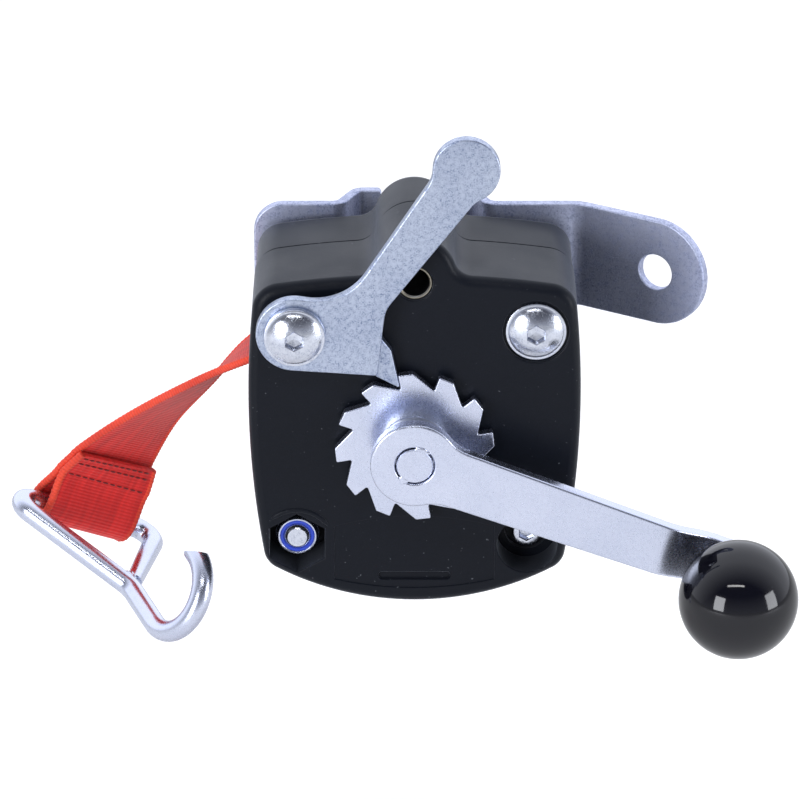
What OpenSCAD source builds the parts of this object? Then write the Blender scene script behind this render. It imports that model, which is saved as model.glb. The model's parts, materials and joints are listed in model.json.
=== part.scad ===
// Hand winch for a boat trailer: a moulded two-shell housing round a webbing drum,
// with a ratchet wheel, a gravity pawl lever, a crank with a ball knob, a plated
// mounting bracket and a wire hook on the webbing.
// +Z is up, +X runs from the webbing side to the bracket tab, the crank side faces -Y.
// The origin is on the axis of the through-bolt sleeve, at the housing's front face.
// Every piece is drawn about the drum shaft's axis and seat() puts it in that frame.

/* [Housing] */
// Greatest width of the housing
housing_w = 98; // [96:0.5:106]
// Depth of the housing, front face to back face
housing_d = 55; // [53:0.5:62]
// Depth of the front shell, up to the seam
front_shell_d = 30; // [26:0.5:34]
// Height of the shoulders above the shaft, at the middle
shoulder_h = 52.3; // [51.5:0.1:56]
// Depth of the bottom edge below the shaft, at the middle
belly_h = 53.3; // [52:0.1:60]
// Height of the through-bolt sleeve above the shaft
sleeve_z = 50.2; // [49.5:0.1:54]
// Radius of the top boss round the sleeve
boss_r = 12.3; // [11:0.1:14]
// Thickness of the side walls
wall = 3; // [2:0.1:3.2]
// Thickness of the front and rear walls
face_t = 3.5; // [2.5:0.1:3.8]
// Radius of the rounded front edge
edge_r = 3; // [1:0.25:3]
// How far the rear shell steps in from the front shell
seam_step = 0.4; // [0:0.1:0.8]

/* [Mounting] */
// Bore of the through-bolt sleeve
sleeve_bore = 8.5; // [8.5:0.1:9.5]
// Wall of the through-bolt sleeve
sleeve_wall = 1; // [0.8:0.1:1.5]
// Thickness of the bracket plate
plate_t = 3; // [2:0.25:4]
// Height of the bracket strip
plate_h = 33; // [30:0.5:36]
// Height of the bracket's centre line above the shaft
plate_z = 37; // [36:0.25:38]
// How far the bracket steps back behind the sleeve
hat_d = 11; // [9:0.5:14]
// Angle that the end tab is bent forward
tab_bend = 31.8; // [15:0.2:40]
// Hole in the end tab
tab_hole = 11; // [8.5:0.5:13]
// Length of the tab from its bend to the hole
tab_l = 24.4; // [22:0.2:34]

/* [Fasteners] */
// Thread size of the main screws
screw_d = 8; // [6:0.5:8]
// Thread size of the small lower screw
small_screw_d = 5; // [4:0.5:5]
// Radial clearance of a screw in a plain hole
hole_gap = 0.2; // [0.1:0.05:0.3]
// Radial gap between a thread and its nut
thread_gap = 0.03; // [0.02:0.01:0.06]
// Diameter of the flanged screw heads
head_d = 17.8; // [15:0.1:18.4]
// Width across the flats of the lock nuts
nut_af = 13; // [11:0.5:13]

/* [Drum] */
// Diameter of the shaft inside the drum
shaft_d = 16; // [14:0.5:16]
// Diameter of the shaft's front journal
journal_d = 14; // [12:0.5:14]
// Diameter of the shaft's rear journal
rear_journal_d = 12; // [10:0.5:13]
// Outer diameter of the drum core
core_d = 24; // [23:0.5:28]
// Outer diameter of the drum flanges
flange_d = 74; // [60:1:74]
// Thickness of each drum flange
flange_t = 1.5; // [1:0.1:1.8]
// Radial clearance of running fits
running_gap = 0.06; // [0.03:0.01:0.1]

/* [Webbing] */
// Width of the webbing
strap_w = 35; // [25:1:36]
// Thickness of the webbing
strap_t = 2; // [1.4:0.1:2.4]
// Diameter of the webbing wound on the drum
wound_d = 71; // [60:1:71]

/* [Ratchet and pawl] */
// Number of ratchet teeth
teeth = 12; // [12]
// Diameter over the tooth tips
wheel_d = 47; // [46:0.25:47.5]
// Depth of the teeth
tooth_depth = 4.4; // [3.6:0.1:4.8]
// Thickness of the ratchet wheel
wheel_t = 3.2; // [2:0.1:3.4]
// Gap between the housing and the ratchet wheel
wheel_gap = 1.5; // [1.4:0.1:2]
// Thickness of the pawl lever plate
lever_t = 3.5; // [2.5:0.1:3.6]
// Diameter of the lever's finger tab
tab_d = 19.5; // [16:0.5:22]
// Distance that the pawl's tip is set back towards the wheel
tip_setback = 2.2; // [2:0.1:2.3]

/* [Crank] */
// Distance from the shaft to the knob
crank_l = 101; // [90:1:115]
// Angle of the crank below level
crank_angle = 20.7; // [0:0.1:30]
// Thickness of the crank arm
crank_t = 4.5; // [3:0.25:5]
// Diameter of the crank's hub
hub_d = 26; // [22:0.5:30]
// Distance from the housing to the back of the crank arm
crank_gap = 13.3; // [13.2:0.1:16]
// How far the arm's end steps back towards the housing
arm_step = 4; // [2:0.25:4]
// Diameter of the ball knob
ball_d = 35; // [28:0.5:38]

/* [Hook] */
// Diameter of the hook wire
wire_d = 6.5; // [5:0.25:7]
// Half the width of the hook's eye, to the corner of its centre line
eye_half_w = 30.5; // [28:0.5:32]
// Height of the hook's eye
eye_h = 39; // [36:1:48]
// Length of the straight shank between eye and bend
shank_l = 18; // [12:1:26]
// Radius of the hook's round bend
bend_r = 13; // [11:0.5:16]

/* [Hidden] */
$fn = 72;
// Kept between pieces that must not touch
seat_gap = 0.3;
// Overlap of a cut past the face that it opens
cut = 1;

// Housing outline: a bottom arc, two side arcs and a shoulder arc
bottom_arc_r = 84;
side_arc_r = 300;
side_arc_z = 12;
shoulder_arc_r = 280;
bottom_corner_r = 7;
top_corner_r = 8.5;
boss_foot_r = 6;
boss_z = sleeve_z + 1.8;
rear_edge_r = 5;

// Screw places about the shaft
pivot_x = -35;
pivot_z = 37;
right_screw_x = 35.5;
right_screw_z = 35;
nut_x = -35;
nut_z = -33.6;
small_x = 33.6;
small_z = -34;
screw_boss_d = screw_d + 6;
small_pocket_d = 18;
small_pocket_depth = 13;
small_boss_d = small_pocket_d + 2.4;
small_head_d = small_screw_d + 3.5;
nut_pocket_depth = 13;
nut_pocket_af = nut_af + 3.6;
nut_boss_d = nut_pocket_af + 5;
right_seat_depth = 1.2;

// Blank label panel and the short groove below it
panel_w = 47.6;
panel_top = -24.6;
panel_top_r = 85;
panel_bottom = -48.2;
panel_bottom_r = 100;
panel_depth = 0.4;
groove_half = 9.5;
groove_r = 1.2;
groove_z = -44.4;

// Depths, front to back
back = housing_d;
plate_back = back + plate_t;
hat_back = back + hat_d;
drum_mid = housing_d / 2;
wheel_back = -wheel_gap;
wheel_front = wheel_back - wheel_t;
crank_back = -crank_gap;
crank_front = crank_back - crank_t;

// Drum stack
flange_gap = 0.5;
core_front = drum_mid - strap_w / 2 - flange_gap;
core_back = drum_mid + strap_w / 2 + flange_gap;
drum_front = core_front - flange_t;
drum_back = core_back + flange_t;
rear_inner = back - face_t;
bush_wall = 2;
bush_flange_t = 1.2;
bush_flange_d = journal_d + 2 * bush_wall + 6;
front_bush_flange = -bush_flange_t;
rear_bush_d = rear_journal_d + 2 * bush_wall;
shaft_end_d = 10.7;
shaft_proud = 0.3;
wheel_seat_d = 12;
pin_d = 3;
pin_r = 10;

// Fastener proportions
head_h = 4.4;
head_flange_t = 1.4;
dome_d = head_d - 1.8;
socket_af = 5;
socket_depth = 2.6;
washer_t = 1;
washer_d = head_d + 0.2;
rear_washer_t = 1.6;
nut_h = 8;
nut_collar_d = nut_af - 1.5;
nut_collar_h = 2.6;
ring_t = 1.4;

// Pawl lever places about the shaft
pawl_bush_d = screw_d + 4;
pawl_bush_flange = 3.6;
lever_back = -pawl_bush_flange - 0.05;
lever_front = lever_back - lever_t;
pawl_bush_front = lever_front - 0.1;
pivot_end_r = 11.3;
tab_x = 14.8;
tab_z = 88;
pawl_tip = [-4.4, 19.3];
pawl_face_top = [-6.9, 31];
tip_clearance = 0.3;
tip_angle = atan2(pawl_tip[1], pawl_tip[0]);
wheel_phase = tip_angle - tip_clearance / norm(pawl_tip) * 180 / PI;
tooth_land = 11.5;

// Webbing slot in the left wall
slot_low = 7;
slot_high = 28;
slot_margin = 2;

// Hook pose: the bar's middle and the turns of its own frame
bar_at = [-103.4, 62, -52.9];
hook_turn = [-15, -27.3, -146.8];
eye_bend_r = 5;
neck_bend_r = 8;
loop_gap = 0.4;
flap_l = 22;
tip_l = 3;
tear_l = 14;

function turned(v) =
    let (a = hook_turn[0], b = hook_turn[1], c = hook_turn[2])
    let (x = [v[0], v[1] * cos(a) - v[2] * sin(a), v[1] * sin(a) + v[2] * cos(a)])
    let (y = [x[0] * cos(b) + x[2] * sin(b), x[1], x[2] * cos(b) - x[0] * sin(b)])
    [y[0] * cos(c) - y[1] * sin(c), y[0] * sin(c) + y[1] * cos(c), y[2]];
bar_dir = -turned([1, 0, 0]);
hook_dir = turned([0, 1, 0]);
rise_dir = turned([0, 0, 1]);

// Webbing route from the wound roll to the hook: middle of the webbing and the
// direction across it, from the crank side edge to the other edge
strap_route = [
    [[-14, 27.5, 34.2], [0, 1, 0]],
    [[-32, 27.5, 26.6], [0, 0.99, -0.1]],
    [[-49, 27.5, 18], [0, 0.98, -0.2]],
    [[-63, 38, 3], [0.06, 0.91, -0.42]],
    [[-79.2, 54, -16], [0.31, 0.83, -0.46]]
];
// Direction of the webbing as it comes down to the hook
stem_dir = [-0.514, 0.045, -0.857];

// ---- Helpers ----

module seat() {
    translate([0, 0, -sleeve_z]) children();
}

// A plate of the 2D shape, drawn in X and Z, between two depths
module slab(y0, y1) {
    translate([0, y1, 0]) rotate([90, 0, 0]) linear_extrude(y1 - y0) children();
}

module rod(x, z, d, y0, y1) {
    translate([x, y1, z]) rotate([90, 0, 0]) cylinder(d = d, h = y1 - y0);
}

module tube(x, z, d, bore, y0, y1) {
    difference() {
        rod(x, z, d, y0, y1);
        rod(x, z, bore, y0 - cut, y1 + cut);
    }
}

// A hexagon with a corner at the top
module hex_rod(x, z, af, y0, y1) {
    translate([x, y1, z]) rotate([90, 30, 0]) cylinder(d = af / cos(30), h = y1 - y0, $fn = 6);
}

function arc(c, r, a0, a1, n) =
    [for (i = [0 : n]) c + r * [cos(a0 + (a1 - a0) * i / n), sin(a0 + (a1 - a0) * i / n)]];

function angle_of(v) = atan2(v[1], v[0]);

// Where two circles meet, on the left (side = 1) or right of the way between centres
function meet(c0, r0, c1, r1, side) =
    let (v = c1 - c0, l = norm(v), a = (r0 * r0 - r1 * r1 + l * l) / (2 * l))
    let (h = sqrt(r0 * r0 - a * a))
    c0 + a * v / l + side * h * [-v[1], v[0]] / l;

// Right half of the housing outline, set in by d, from the bottom to the top
function half_outline(d) =
    let (cb = [0, bottom_arc_r - belly_h], cs = [housing_w / 2 - side_arc_r, side_arc_z])
    let (ct = [0, shoulder_h - shoulder_arc_r], cz = [0, boss_z])
    let (kb = meet(cb, bottom_arc_r - bottom_corner_r, cs, side_arc_r - bottom_corner_r, 1))
    let (kt = meet(cs, side_arc_r - top_corner_r, ct, shoulder_arc_r - top_corner_r, 1))
    let (kf = meet(ct, shoulder_arc_r + boss_foot_r, cz, boss_r + boss_foot_r, -1))
    concat(
        arc(cb, bottom_arc_r - d, -90, angle_of(kb - cb), 8),
        arc(kb, bottom_corner_r - d, angle_of(kb - cb), angle_of(kb - cs), 6),
        arc(cs, side_arc_r - d, angle_of(kb - cs), angle_of(kt - cs), 8),
        arc(kt, top_corner_r - d, angle_of(kt - cs), angle_of(kt - ct), 6),
        arc(ct, shoulder_arc_r - d, angle_of(kt - ct), angle_of(kf - ct), 5),
        arc(kf, boss_foot_r + d, angle_of(ct - kf) + 360, angle_of(cz - kf) + 360, 5),
        arc(cz, boss_r - d, angle_of(kf - cz), 90, 8)
    );

function without_repeats(p) =
    [for (i = [0 : len(p) - 1]) if (i == 0 || norm(p[i] - p[i - 1]) > 0.001) p[i]];

function outline(d) =
    let (h = without_repeats(half_outline(d)), n = len(h))
    concat(h, [for (i = [n - 2 : -1 : 1]) [-h[i][0], h[i][1]]]);

// Outline of a belt that runs anticlockwise round pulleys [x, z, radius]. A pulley with
// a radius below zero presses on the belt from outside.
function heading(a, b) =
    let (v = [b[0] - a[0], b[1] - a[1]]) angle_of(v) - asin((b[2] - a[2]) / norm(v));
function full_turn(a) = a - 360 * floor(a / 360);
function belt(p) =
    let (n = len(p))
    [for (i = [0 : n - 1])
        let (c = p[i], came = heading(p[(i + n - 1) % n], c), goes = heading(c, p[(i + 1) % n]))
        let (turn = c[2] < 0 ? -full_turn(came - goes) : full_turn(goes - came))
        each arc([c[0], c[1]], c[2], came - 90, came - 90 + turn, max(1, ceil(abs(turn) / 8)))];

// A closed skin through rings that all have the same number of points
module skin(rings) {
    n = len(rings[0]);
    m = len(rings);
    sides = [for (j = [0 : m - 2]) for (i = [0 : n - 1])
        let (a = j * n + i, b = j * n + (i + 1) % n) each [[a, b, b + n], [a, b + n, a + n]]];
    polyhedron(
        [for (r = rings) each r],
        concat([[for (i = [n - 1 : -1 : 0]) i]], sides, [[for (i = [0 : n - 1]) (m - 1) * n + i]])
    );
}

// A bent strip of thickness t along 2D points
function strip_side(p, t) = [for (i = [0 : len(p) - 1])
    let (a = p[max(i - 1, 0)], b = p[min(i + 1, len(p) - 1)], u = (b - a) / norm(b - a))
    p[i] + t * [-u[1], u[0]]];
function strip(p, t) =
    let (l = strip_side(p, t / 2), r = strip_side(p, -t / 2))
    concat(l, [for (i = [len(r) - 1 : -1 : 0]) r[i]]);

// Points of a smooth step from y0 to y1
function joggle(x0, x1, y0, y1, n) = [for (i = [0 : n])
    let (u = i / n) [x0 + (x1 - x0) * u, y0 + (y1 - y0) * (1 - cos(180 * u)) / 2]];

// ---- Housing ----

module moulded_face() {
    steps = 5;
    skin(concat(
        [for (i = [0 : steps])
            let (a = 90 * i / steps, d = edge_r * (1 - sin(a)), y = edge_r * (1 - cos(a)))
            [for (p = outline(d)) [p[0], y, p[1]]]],
        [[for (p = outline(0)) [p[0], front_shell_d, p[1]]]]
    ));
}

module rear_face() {
    steps = 5;
    skin(concat(
        [[for (p = outline(seam_step)) [p[0], front_shell_d, p[1]]]],
        [for (i = [0 : steps])
            let (a = 90 * i / steps, d = rear_edge_r * (1 - cos(a)), y = back - rear_edge_r * (1 - sin(a)))
            [for (p = outline(seam_step + d)) [p[0], y, p[1]]]]
    ));
}

module strap_slot() {
    translate([-housing_w / 2 - cut, drum_mid - strap_w / 2 - slot_margin, slot_low])
        cube([3 * wall + cut, strap_w + 2 * slot_margin, slot_high - slot_low]);
}

module screw_holes(y0, y1) {
    rod(pivot_x, pivot_z, screw_d + 2 * hole_gap, y0, y1);
    rod(right_screw_x, right_screw_z, screw_d + 2 * hole_gap, y0, y1);
    rod(nut_x, nut_z, screw_d + 2 * hole_gap, y0, y1);
    rod(0, sleeve_z, sleeve_bore + 2 * sleeve_wall + 0.1, y0, y1);
}

module screw_bosses(y0, y1) {
    rod(pivot_x, pivot_z, screw_boss_d, y0, y1);
    rod(right_screw_x, right_screw_z, screw_boss_d, y0, y1);
    rod(nut_x, nut_z, screw_boss_d, y0, y1);
    rod(0, sleeve_z, sleeve_bore + 2 * sleeve_wall + 4, y0, y1);
}

module label_panel() {
    a = asin(panel_w / 2 / panel_top_r);
    b = asin(panel_w / 2 / panel_bottom_r);
    slab(-cut, panel_depth) polygon(concat(
        arc([0, panel_top - panel_top_r], panel_top_r, 90 - a, 90 + a, 10),
        arc([0, panel_bottom + panel_bottom_r], panel_bottom_r, 270 - b, 270 + b, 10)
    ));
    slab(-cut, panel_depth + 1) polygon(concat(
        arc([groove_half, groove_z], groove_r, -90, 90, 6),
        arc([-groove_half, groove_z], groove_r, 90, 270, 6)
    ));
}

module front_cover() {
    color("#1c1e22") seat() difference() {
        union() {
            difference() {
                moulded_face();
                slab(face_t, front_shell_d + cut) polygon(outline(wall));
            }
            screw_bosses(face_t - 0.5, front_shell_d);
            intersection() {
                slab(0.5, front_shell_d) polygon(outline(1));
                union() {
                    rod(nut_x, nut_z, nut_boss_d, 0, nut_pocket_depth + 2.5);
                    rod(small_x, small_z, small_boss_d, 0, small_pocket_depth + 2.5);
                    rod(small_x, small_z, small_screw_d + 5, 0, front_shell_d);
                }
            }
            rod(0, 0, journal_d + 2 * bush_wall + 5, 0, drum_front - 1.8);
        }
        screw_holes(-cut, front_shell_d + cut);
        rod(0, 0, journal_d + 2 * bush_wall, -cut, front_shell_d);
        hex_rod(nut_x, nut_z, nut_pocket_af, -cut, nut_pocket_depth);
        rod(small_x, small_z, small_pocket_d, -cut, small_pocket_depth - 2);
        rod(small_x, small_z, small_head_d + 4.5, 0, small_pocket_depth);
        rod(small_x, small_z, small_screw_d + 2 * hole_gap, 0, front_shell_d + cut);
        rod(right_screw_x, right_screw_z, head_d + 1.7, -cut, right_seat_depth);
        label_panel();
        strap_slot();
    }
}

module rear_cover() {
    color("#1c1e22") seat() difference() {
        union() {
            difference() {
                rear_face();
                slab(front_shell_d - cut, rear_inner) polygon(outline(seam_step + wall));
            }
            screw_bosses(front_shell_d, rear_inner + 0.5);
            rod(small_x, small_z, small_screw_d + 6, front_shell_d, rear_inner + 0.5);
            rod(0, 0, rear_bush_d + 5, rear_inner - 0.8, back);
        }
        screw_holes(front_shell_d - cut, back + cut);
        rod(small_x, small_z, small_screw_d + 2 * thread_gap, front_shell_d - cut, back - 3);
        rod(0, 0, rear_bush_d, front_shell_d, back + cut);
        strap_slot();
    }
}

module boss_sleeve() {
    color("#c8c6ba") seat()
        tube(0, sleeve_z, sleeve_bore + 2 * sleeve_wall, sleeve_bore, 0, back);
}

// ---- Bracket ----

bend_from = housing_w / 2 - 1.5;
plate_mid = back + plate_t / 2;
hat_mid = hat_back + plate_t / 2;
notch_w = 20;
joggle_half = 20;
joggle_r = 3.5;
joggle_turn = 65;
joggle_run = (hat_d - 2 * joggle_r * (1 - cos(joggle_turn))) / sin(joggle_turn);
joggle_span = 2 * joggle_r * sin(joggle_turn) + joggle_run * cos(joggle_turn);
// Left side of the hat section, from the flange plane back to the web plane
hat_side = concat(
    arc([-joggle_half - joggle_span / 2, plate_mid + joggle_r], joggle_r, -90, joggle_turn - 90, 6),
    arc([-joggle_half + joggle_span / 2, hat_mid - joggle_r], joggle_r, joggle_turn + 90, 90, 6)
);
tab_dir = [cos(tab_bend), -sin(tab_bend)];
bend_turn_r = 9;
// Where the flat tab starts, after the round bend
tab_from = [bend_from + bend_turn_r * sin(tab_bend), plate_mid - bend_turn_r * (1 - cos(tab_bend))];
left_end = housing_w / 2 - 0.6;

module plate_run() {
    path = concat(
        [[-left_end, plate_mid]],
        hat_side,
        [for (i = [len(hat_side) - 1 : -1 : 0]) [-hat_side[i][0], hat_side[i][1]]],
        arc([bend_from, plate_mid - bend_turn_r], bend_turn_r, 90, 90 - tab_bend, 6),
        [tab_from + (tab_l + plate_h / 2) * tab_dir]
    );
    translate([0, 0, plate_z - plate_h / 2]) linear_extrude(plate_h) polygon(strip(path, plate_t));
}

// What is cut away round the tab's rounded end, and its hole
module tab_cuts() {
    translate([tab_from[0], tab_from[1], plate_z]) rotate([0, 0, -tab_bend]) {
        slab(-2 * plate_t, 2 * plate_t) polygon(concat(
            arc([tab_l, 0], plate_h / 2, 90, -90, 24),
            [[tab_l, -plate_h], [tab_l + plate_h, -plate_h], [tab_l + plate_h, plate_h], [tab_l, plate_h]]
        ));
        rod(tab_l, 0, tab_hole, -2 * plate_t, 2 * plate_t);
    }
}

module mounting_bracket() {
    corner = 9;
    top = plate_z + plate_h / 2;
    color("#b9bfc9") seat() difference() {
        plate_run();
        tab_cuts();
        // Rounded upper corner at the webbing end
        slab(back - cut, plate_back + cut) polygon(concat(
            arc([corner - left_end, top - corner], corner, 90, 180, 10),
            [[-left_end - cut, top - corner], [-left_end - cut, top + cut], [corner - left_end, top + cut]]
        ));
        rod(pivot_x, pivot_z, screw_d + 2 * hole_gap, back - cut, plate_back + cut);
        rod(right_screw_x, right_screw_z, screw_d + 2 * hole_gap, back - cut, plate_back + cut);
        // Notch that lets the through-bolt out at the back
        slab(back - cut, hat_back + plate_t + cut) polygon(concat(
            arc([0, sleeve_z - 1], notch_w / 2, 180, 360, 16),
            [[notch_w / 2, top + cut], [-notch_w / 2, top + cut]]
        ));
    }
}

// ---- Shaft and drum ----

module front_bush() {
    color("#b08d4a") seat() difference() {
        union() {
            rod(0, 0, journal_d + 2 * bush_wall, 0, drum_front - 1.8);
            rod(0, 0, bush_flange_d, front_bush_flange, 0);
        }
        rod(0, 0, journal_d + 2 * running_gap, -5, drum_front);
    }
}

module rear_bush() {
    color("#b08d4a") seat()
        tube(0, 0, rear_bush_d, rear_journal_d + 2 * running_gap, rear_inner - 0.8, back);
}

module thrust_washers() {
    color("#8f9499") seat() {
        tube(0, 0, shaft_d + 6, journal_d + 1, drum_front - 1.5, drum_front);
        tube(0, 0, shaft_d + 6, rear_journal_d + 1, drum_back, rear_inner - 1.1);
    }
}

module drum_shaft() {
    color("#a9adb3") seat() difference() {
        union() {
            rod(0, 0, shaft_end_d, crank_front - shaft_proud, crank_back);
            rod(0, 0, wheel_seat_d, crank_back, wheel_back);
            rod(0, 0, journal_d, wheel_back, drum_front);
            rod(0, 0, shaft_d, drum_front, drum_back);
            rod(0, 0, rear_journal_d, drum_back, back - 0.5);
        }
        rod(0, 0, 3, back - 4, back + cut);
    }
}

module drum_core() {
    color("#3a3d42") seat() difference() {
        tube(0, 0, core_d, shaft_d + 2 * running_gap, core_front, core_back);
        rod(pin_r, 0, pin_d + 0.1, core_front - cut, core_back + cut);
        translate([pin_r, core_front + 2, -1]) cube([core_d / 2, core_back - core_front - 4, 2]);
    }
}

module drum_flange(y0) {
    difference() {
        tube(0, 0, flange_d, shaft_d + 2 * running_gap, y0, y0 + flange_t);
        rod(pin_r, 0, pin_d + 0.1, y0 - cut, y0 + flange_t + cut);
    }
}

module front_drum_flange() {
    color("#c0c4ca") seat() drum_flange(drum_front);
}

module rear_drum_flange() {
    color("#c0c4ca") seat() drum_flange(core_back);
}

module strap_anchor_pin() {
    color("#a9adb3") seat() rod(pin_r, 0, pin_d, drum_front + 0.2, drum_back - 0.2);
}

module wound_strap() {
    color("#c01f22") seat() tube(0, 0, wound_d, core_d + 2 * seat_gap,
        drum_mid - strap_w / 2, drum_mid + strap_w / 2);
}

// ---- Webbing and hook ----

function cross3(a, b) = [a[1] * b[2] - a[2] * b[1], a[2] * b[0] - a[0] * b[2], a[0] * b[1] - a[1] * b[0]];
function unit(v) = v / norm(v);

// The loop round the bar: n is the distance on the hook's side, t the distance past the bar
loop_r = wire_d / 2 + loop_gap + strap_t / 2;
function ease(u) = (1 - cos(180 * u)) / 2;
function loop_point(n, t) = bar_at + n * hook_dir + t * stem_dir;
// The webbing turns a little between the end of its flap and the loop
function stem_across(t) =
    let (u = max(0, -t - tear_l) / (flap_l - tear_l)) unit(bar_dir + 0.6 * u * (hang_across - bar_dir));
hang_across = [0.54, 0.72, -0.45];
flap_n = strap_t / 2 + 0.3;
strap_loop = concat(
    [for (u = [0 : 0.2 : 0.81])
        [loop_point(-flap_n - (loop_r - flap_n) * ease(u), -tear_l * (1 - u)), bar_dir]],
    [for (a = [180 : -15 : 0]) [loop_point(loop_r * cos(a), loop_r * sin(a)), bar_dir]],
    [for (u = [0.2 : 0.2 : 1.01])
        [loop_point(loop_r - (loop_r - flap_n) * ease(u), -tear_l * u), bar_dir]],
    [for (t = [-tear_l - 4 : -4 : -flap_l]) [loop_point(flap_n, t), stem_across(t)]]
);
strap_hang = [for (t = [-flap_l - 2, -flap_l + 4]) [loop_point(-flap_n, t), stem_across(t)]];

// Smooth curve through the route, four steps between points
function smooth(p, i, u) =
    let (a = p[max(i - 1, 0)], b = p[i], c = p[i + 1], d = p[min(i + 2, len(p) - 1)])
    b + 0.5 * u * (c - a + u * (2 * a - 5 * b + 4 * c - d + u * (3 * (b - c) + d - a)));
function smooth_route(r, steps) =
    let (p = [for (s = r) s[0]], w = [for (s = r) s[1]])
    concat(
        [for (i = [0 : len(r) - 2]) for (k = [0 : steps - 1])
            [smooth(p, i, k / steps), unit(smooth(w, i, k / steps))]],
        [r[len(r) - 1]]
    );
strap_line = concat(smooth_route(concat(strap_route, strap_hang), 4), strap_loop);

function strap_ring(line, i) =
    let (a = line[max(i - 1, 0)][0], b = line[min(i + 1, len(line) - 1)][0], w = line[i][1])
    let (n = unit(cross3(b - a, w)))
    let (p = line[i][0], h = w * strap_w / 2, q = n * strap_t / 2)
    [p - h - q, p + h - q, p + h + q, p - h + q];

module strap() {
    color("#c01f22") seat()
        skin([for (i = [len(strap_line) - 1 : -1 : 0]) strap_ring(strap_line, i)]);
}

leg_angle = atan2(eye_h, eye_half_w);
leg_turn = 180 - leg_angle;
corner_cut = eye_bend_r * tan(leg_turn / 2);
neck_turn = 90 - leg_angle;
neck_cut = neck_bend_r * tan(neck_turn / 2);
bar_end = eye_half_w - corner_cut;
shank_to = eye_h + shank_l;
// The far leg stops just short of the neck, where a weld bead joins them
weld_gap = 0.3;
weld_x = (wire_d / 2 * (1 - cos(2 * leg_angle)) + weld_gap) / (2 * sin(leg_angle));
weld_y = eye_h * (1 - weld_x / eye_half_w);

// Centre line of the eye, from the far leg's end round to the shank
eye_line = concat(
    [[-weld_x, weld_y]],
    arc([-bar_end, eye_bend_r], eye_bend_r, 270 - leg_turn, 270, 7),
    arc([bar_end, eye_bend_r], eye_bend_r, -90, leg_turn - 90, 7),
    arc([neck_bend_r, eye_h + neck_cut], neck_bend_r, 180 + neck_turn, 180, 3)
);
// Centre line of the round bend and its tip, in Y and Z
bend_line = concat(
    [for (a = [0 : 12 : 180]) [shank_to + bend_r * sin(a), bend_r * (1 - cos(a))]],
    [[shank_to - tip_l, 2 * bend_r]]
);

function wire_ring(at, u, v) =
    [for (a = [0 : 18 : 342]) at + wire_d / 2 * (cos(a) * u + sin(a) * v)];
function way(line, i) = unit(line[min(i + 1, len(line) - 1)] - line[max(i - 1, 0)]);
eye_rings = [for (i = [0 : len(eye_line) - 1]) let (t = way(eye_line, i))
    wire_ring([eye_line[i][0], eye_line[i][1], 0], [t[1], -t[0], 0], [0, 0, 1])];
bend_rings = [for (i = [0 : len(bend_line) - 1]) let (t = way(bend_line, i))
    wire_ring([0, bend_line[i][0], bend_line[i][1]], [1, 0, 0], [0, -t[1], t[0]])];

module hook() {
    color("#b9bfc9") seat() translate(bar_at) rotate(hook_turn) difference() {
        union() {
            skin(concat(eye_rings, bend_rings));
            translate([0, weld_y, 0]) sphere(d = wire_d - 0.5, $fn = 32);
        }
        // Bevelled tip
        translate([0, shank_to - tip_l + 6, 2 * bend_r + wire_d / 2]) rotate([37, 0, 0])
            translate([-wire_d, -3 * wire_d, 0]) cube([2 * wire_d, 3 * wire_d, 2 * wire_d]);
    }
}

// ---- Ratchet, crank and pawl ----

module ratchet_wheel() {
    pitch = 360 / teeth;
    tip = wheel_d / 2;
    root = tip - tooth_depth;
    points = [for (k = [0 : teeth - 1]) let (a = wheel_phase + k * pitch) each [
        tip * [cos(a), sin(a)],
        root * [cos(a), sin(a)],
        tip * [cos(a + pitch - tooth_land), sin(a + pitch - tooth_land)]
    ]];
    color("#c9ced6") seat() difference() {
        slab(wheel_front, wheel_back) polygon(points);
        rod(0, 0, wheel_seat_d + 0.08, wheel_front - cut, wheel_back + cut);
    }
}

module wheel_spacer() {
    color("#a9adb3") seat()
        tube(0, 0, wheel_seat_d + 8, wheel_seat_d + 0.08, crank_back, wheel_front);
}

// A pulley that presses on a belt just off the round end [x, z, r], in the direction a
function waist(end, r, a) =
    let (l = end[2] + r + 0.05) [end[0] + l * cos(a), end[1] + l * sin(a), -r];

module arm_outline() {
    hub = [0, 0, hub_d / 2];
    polygon(belt([hub, waist(hub, 12, -57), [crank_l, 0, arm_end_w / 2], waist(hub, 12, 57)]));
}

module arm_profile() {
    mid = crank_back - crank_t / 2;
    step_from = crank_l - 23;
    step_to = crank_l - 12;
    polygon(strip(concat([[-hub_d, mid]], joggle(step_from, step_to, mid, mid + arm_step, 10),
        [[crank_l + hub_d, mid + arm_step]]), crank_t));
}

module crank_arm() {
    color("#c9ced6") seat() rotate([0, crank_angle, 0]) difference() {
        intersection() {
            slab(crank_front - cut, -2) arm_outline();
            translate([0, 0, -hub_d]) linear_extrude(2 * hub_d) arm_profile();
        }
        rod(0, 0, shaft_end_d + 0.1, crank_front - cut, 0);
        rod(crank_l, 0, screw_d + 0.1, crank_front - cut, 0);
    }
}

arm_end_w = 15;
stud_base = crank_back + arm_step;
arm_end_front = stud_base - crank_t;
collar_t = 4;
ball_flat = arm_end_front - collar_t - 0.3;
ball_mid = ball_flat - ball_d / 2 + 2.5;
insert_d = 14;
insert_l = 20;

module knob_stud() {
    color("#a9adb3") seat() rotate([0, crank_angle, 0]) {
        rod(crank_l, 0, screw_d, ball_flat - insert_l + 2, stud_base + 0.6);
        tube(crank_l, 0, screw_d + 5, screw_d - 0.5, ball_flat + 0.3, arm_end_front);
    }
}

module knob_insert() {
    color("#b08d4a") seat() rotate([0, crank_angle, 0]) difference() {
        rod(crank_l, 0, insert_d, ball_flat - insert_l, ball_flat);
        rod(crank_l, 0, screw_d + 2 * running_gap, ball_flat - insert_l + 1.5, ball_flat + cut);
    }
}

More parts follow.
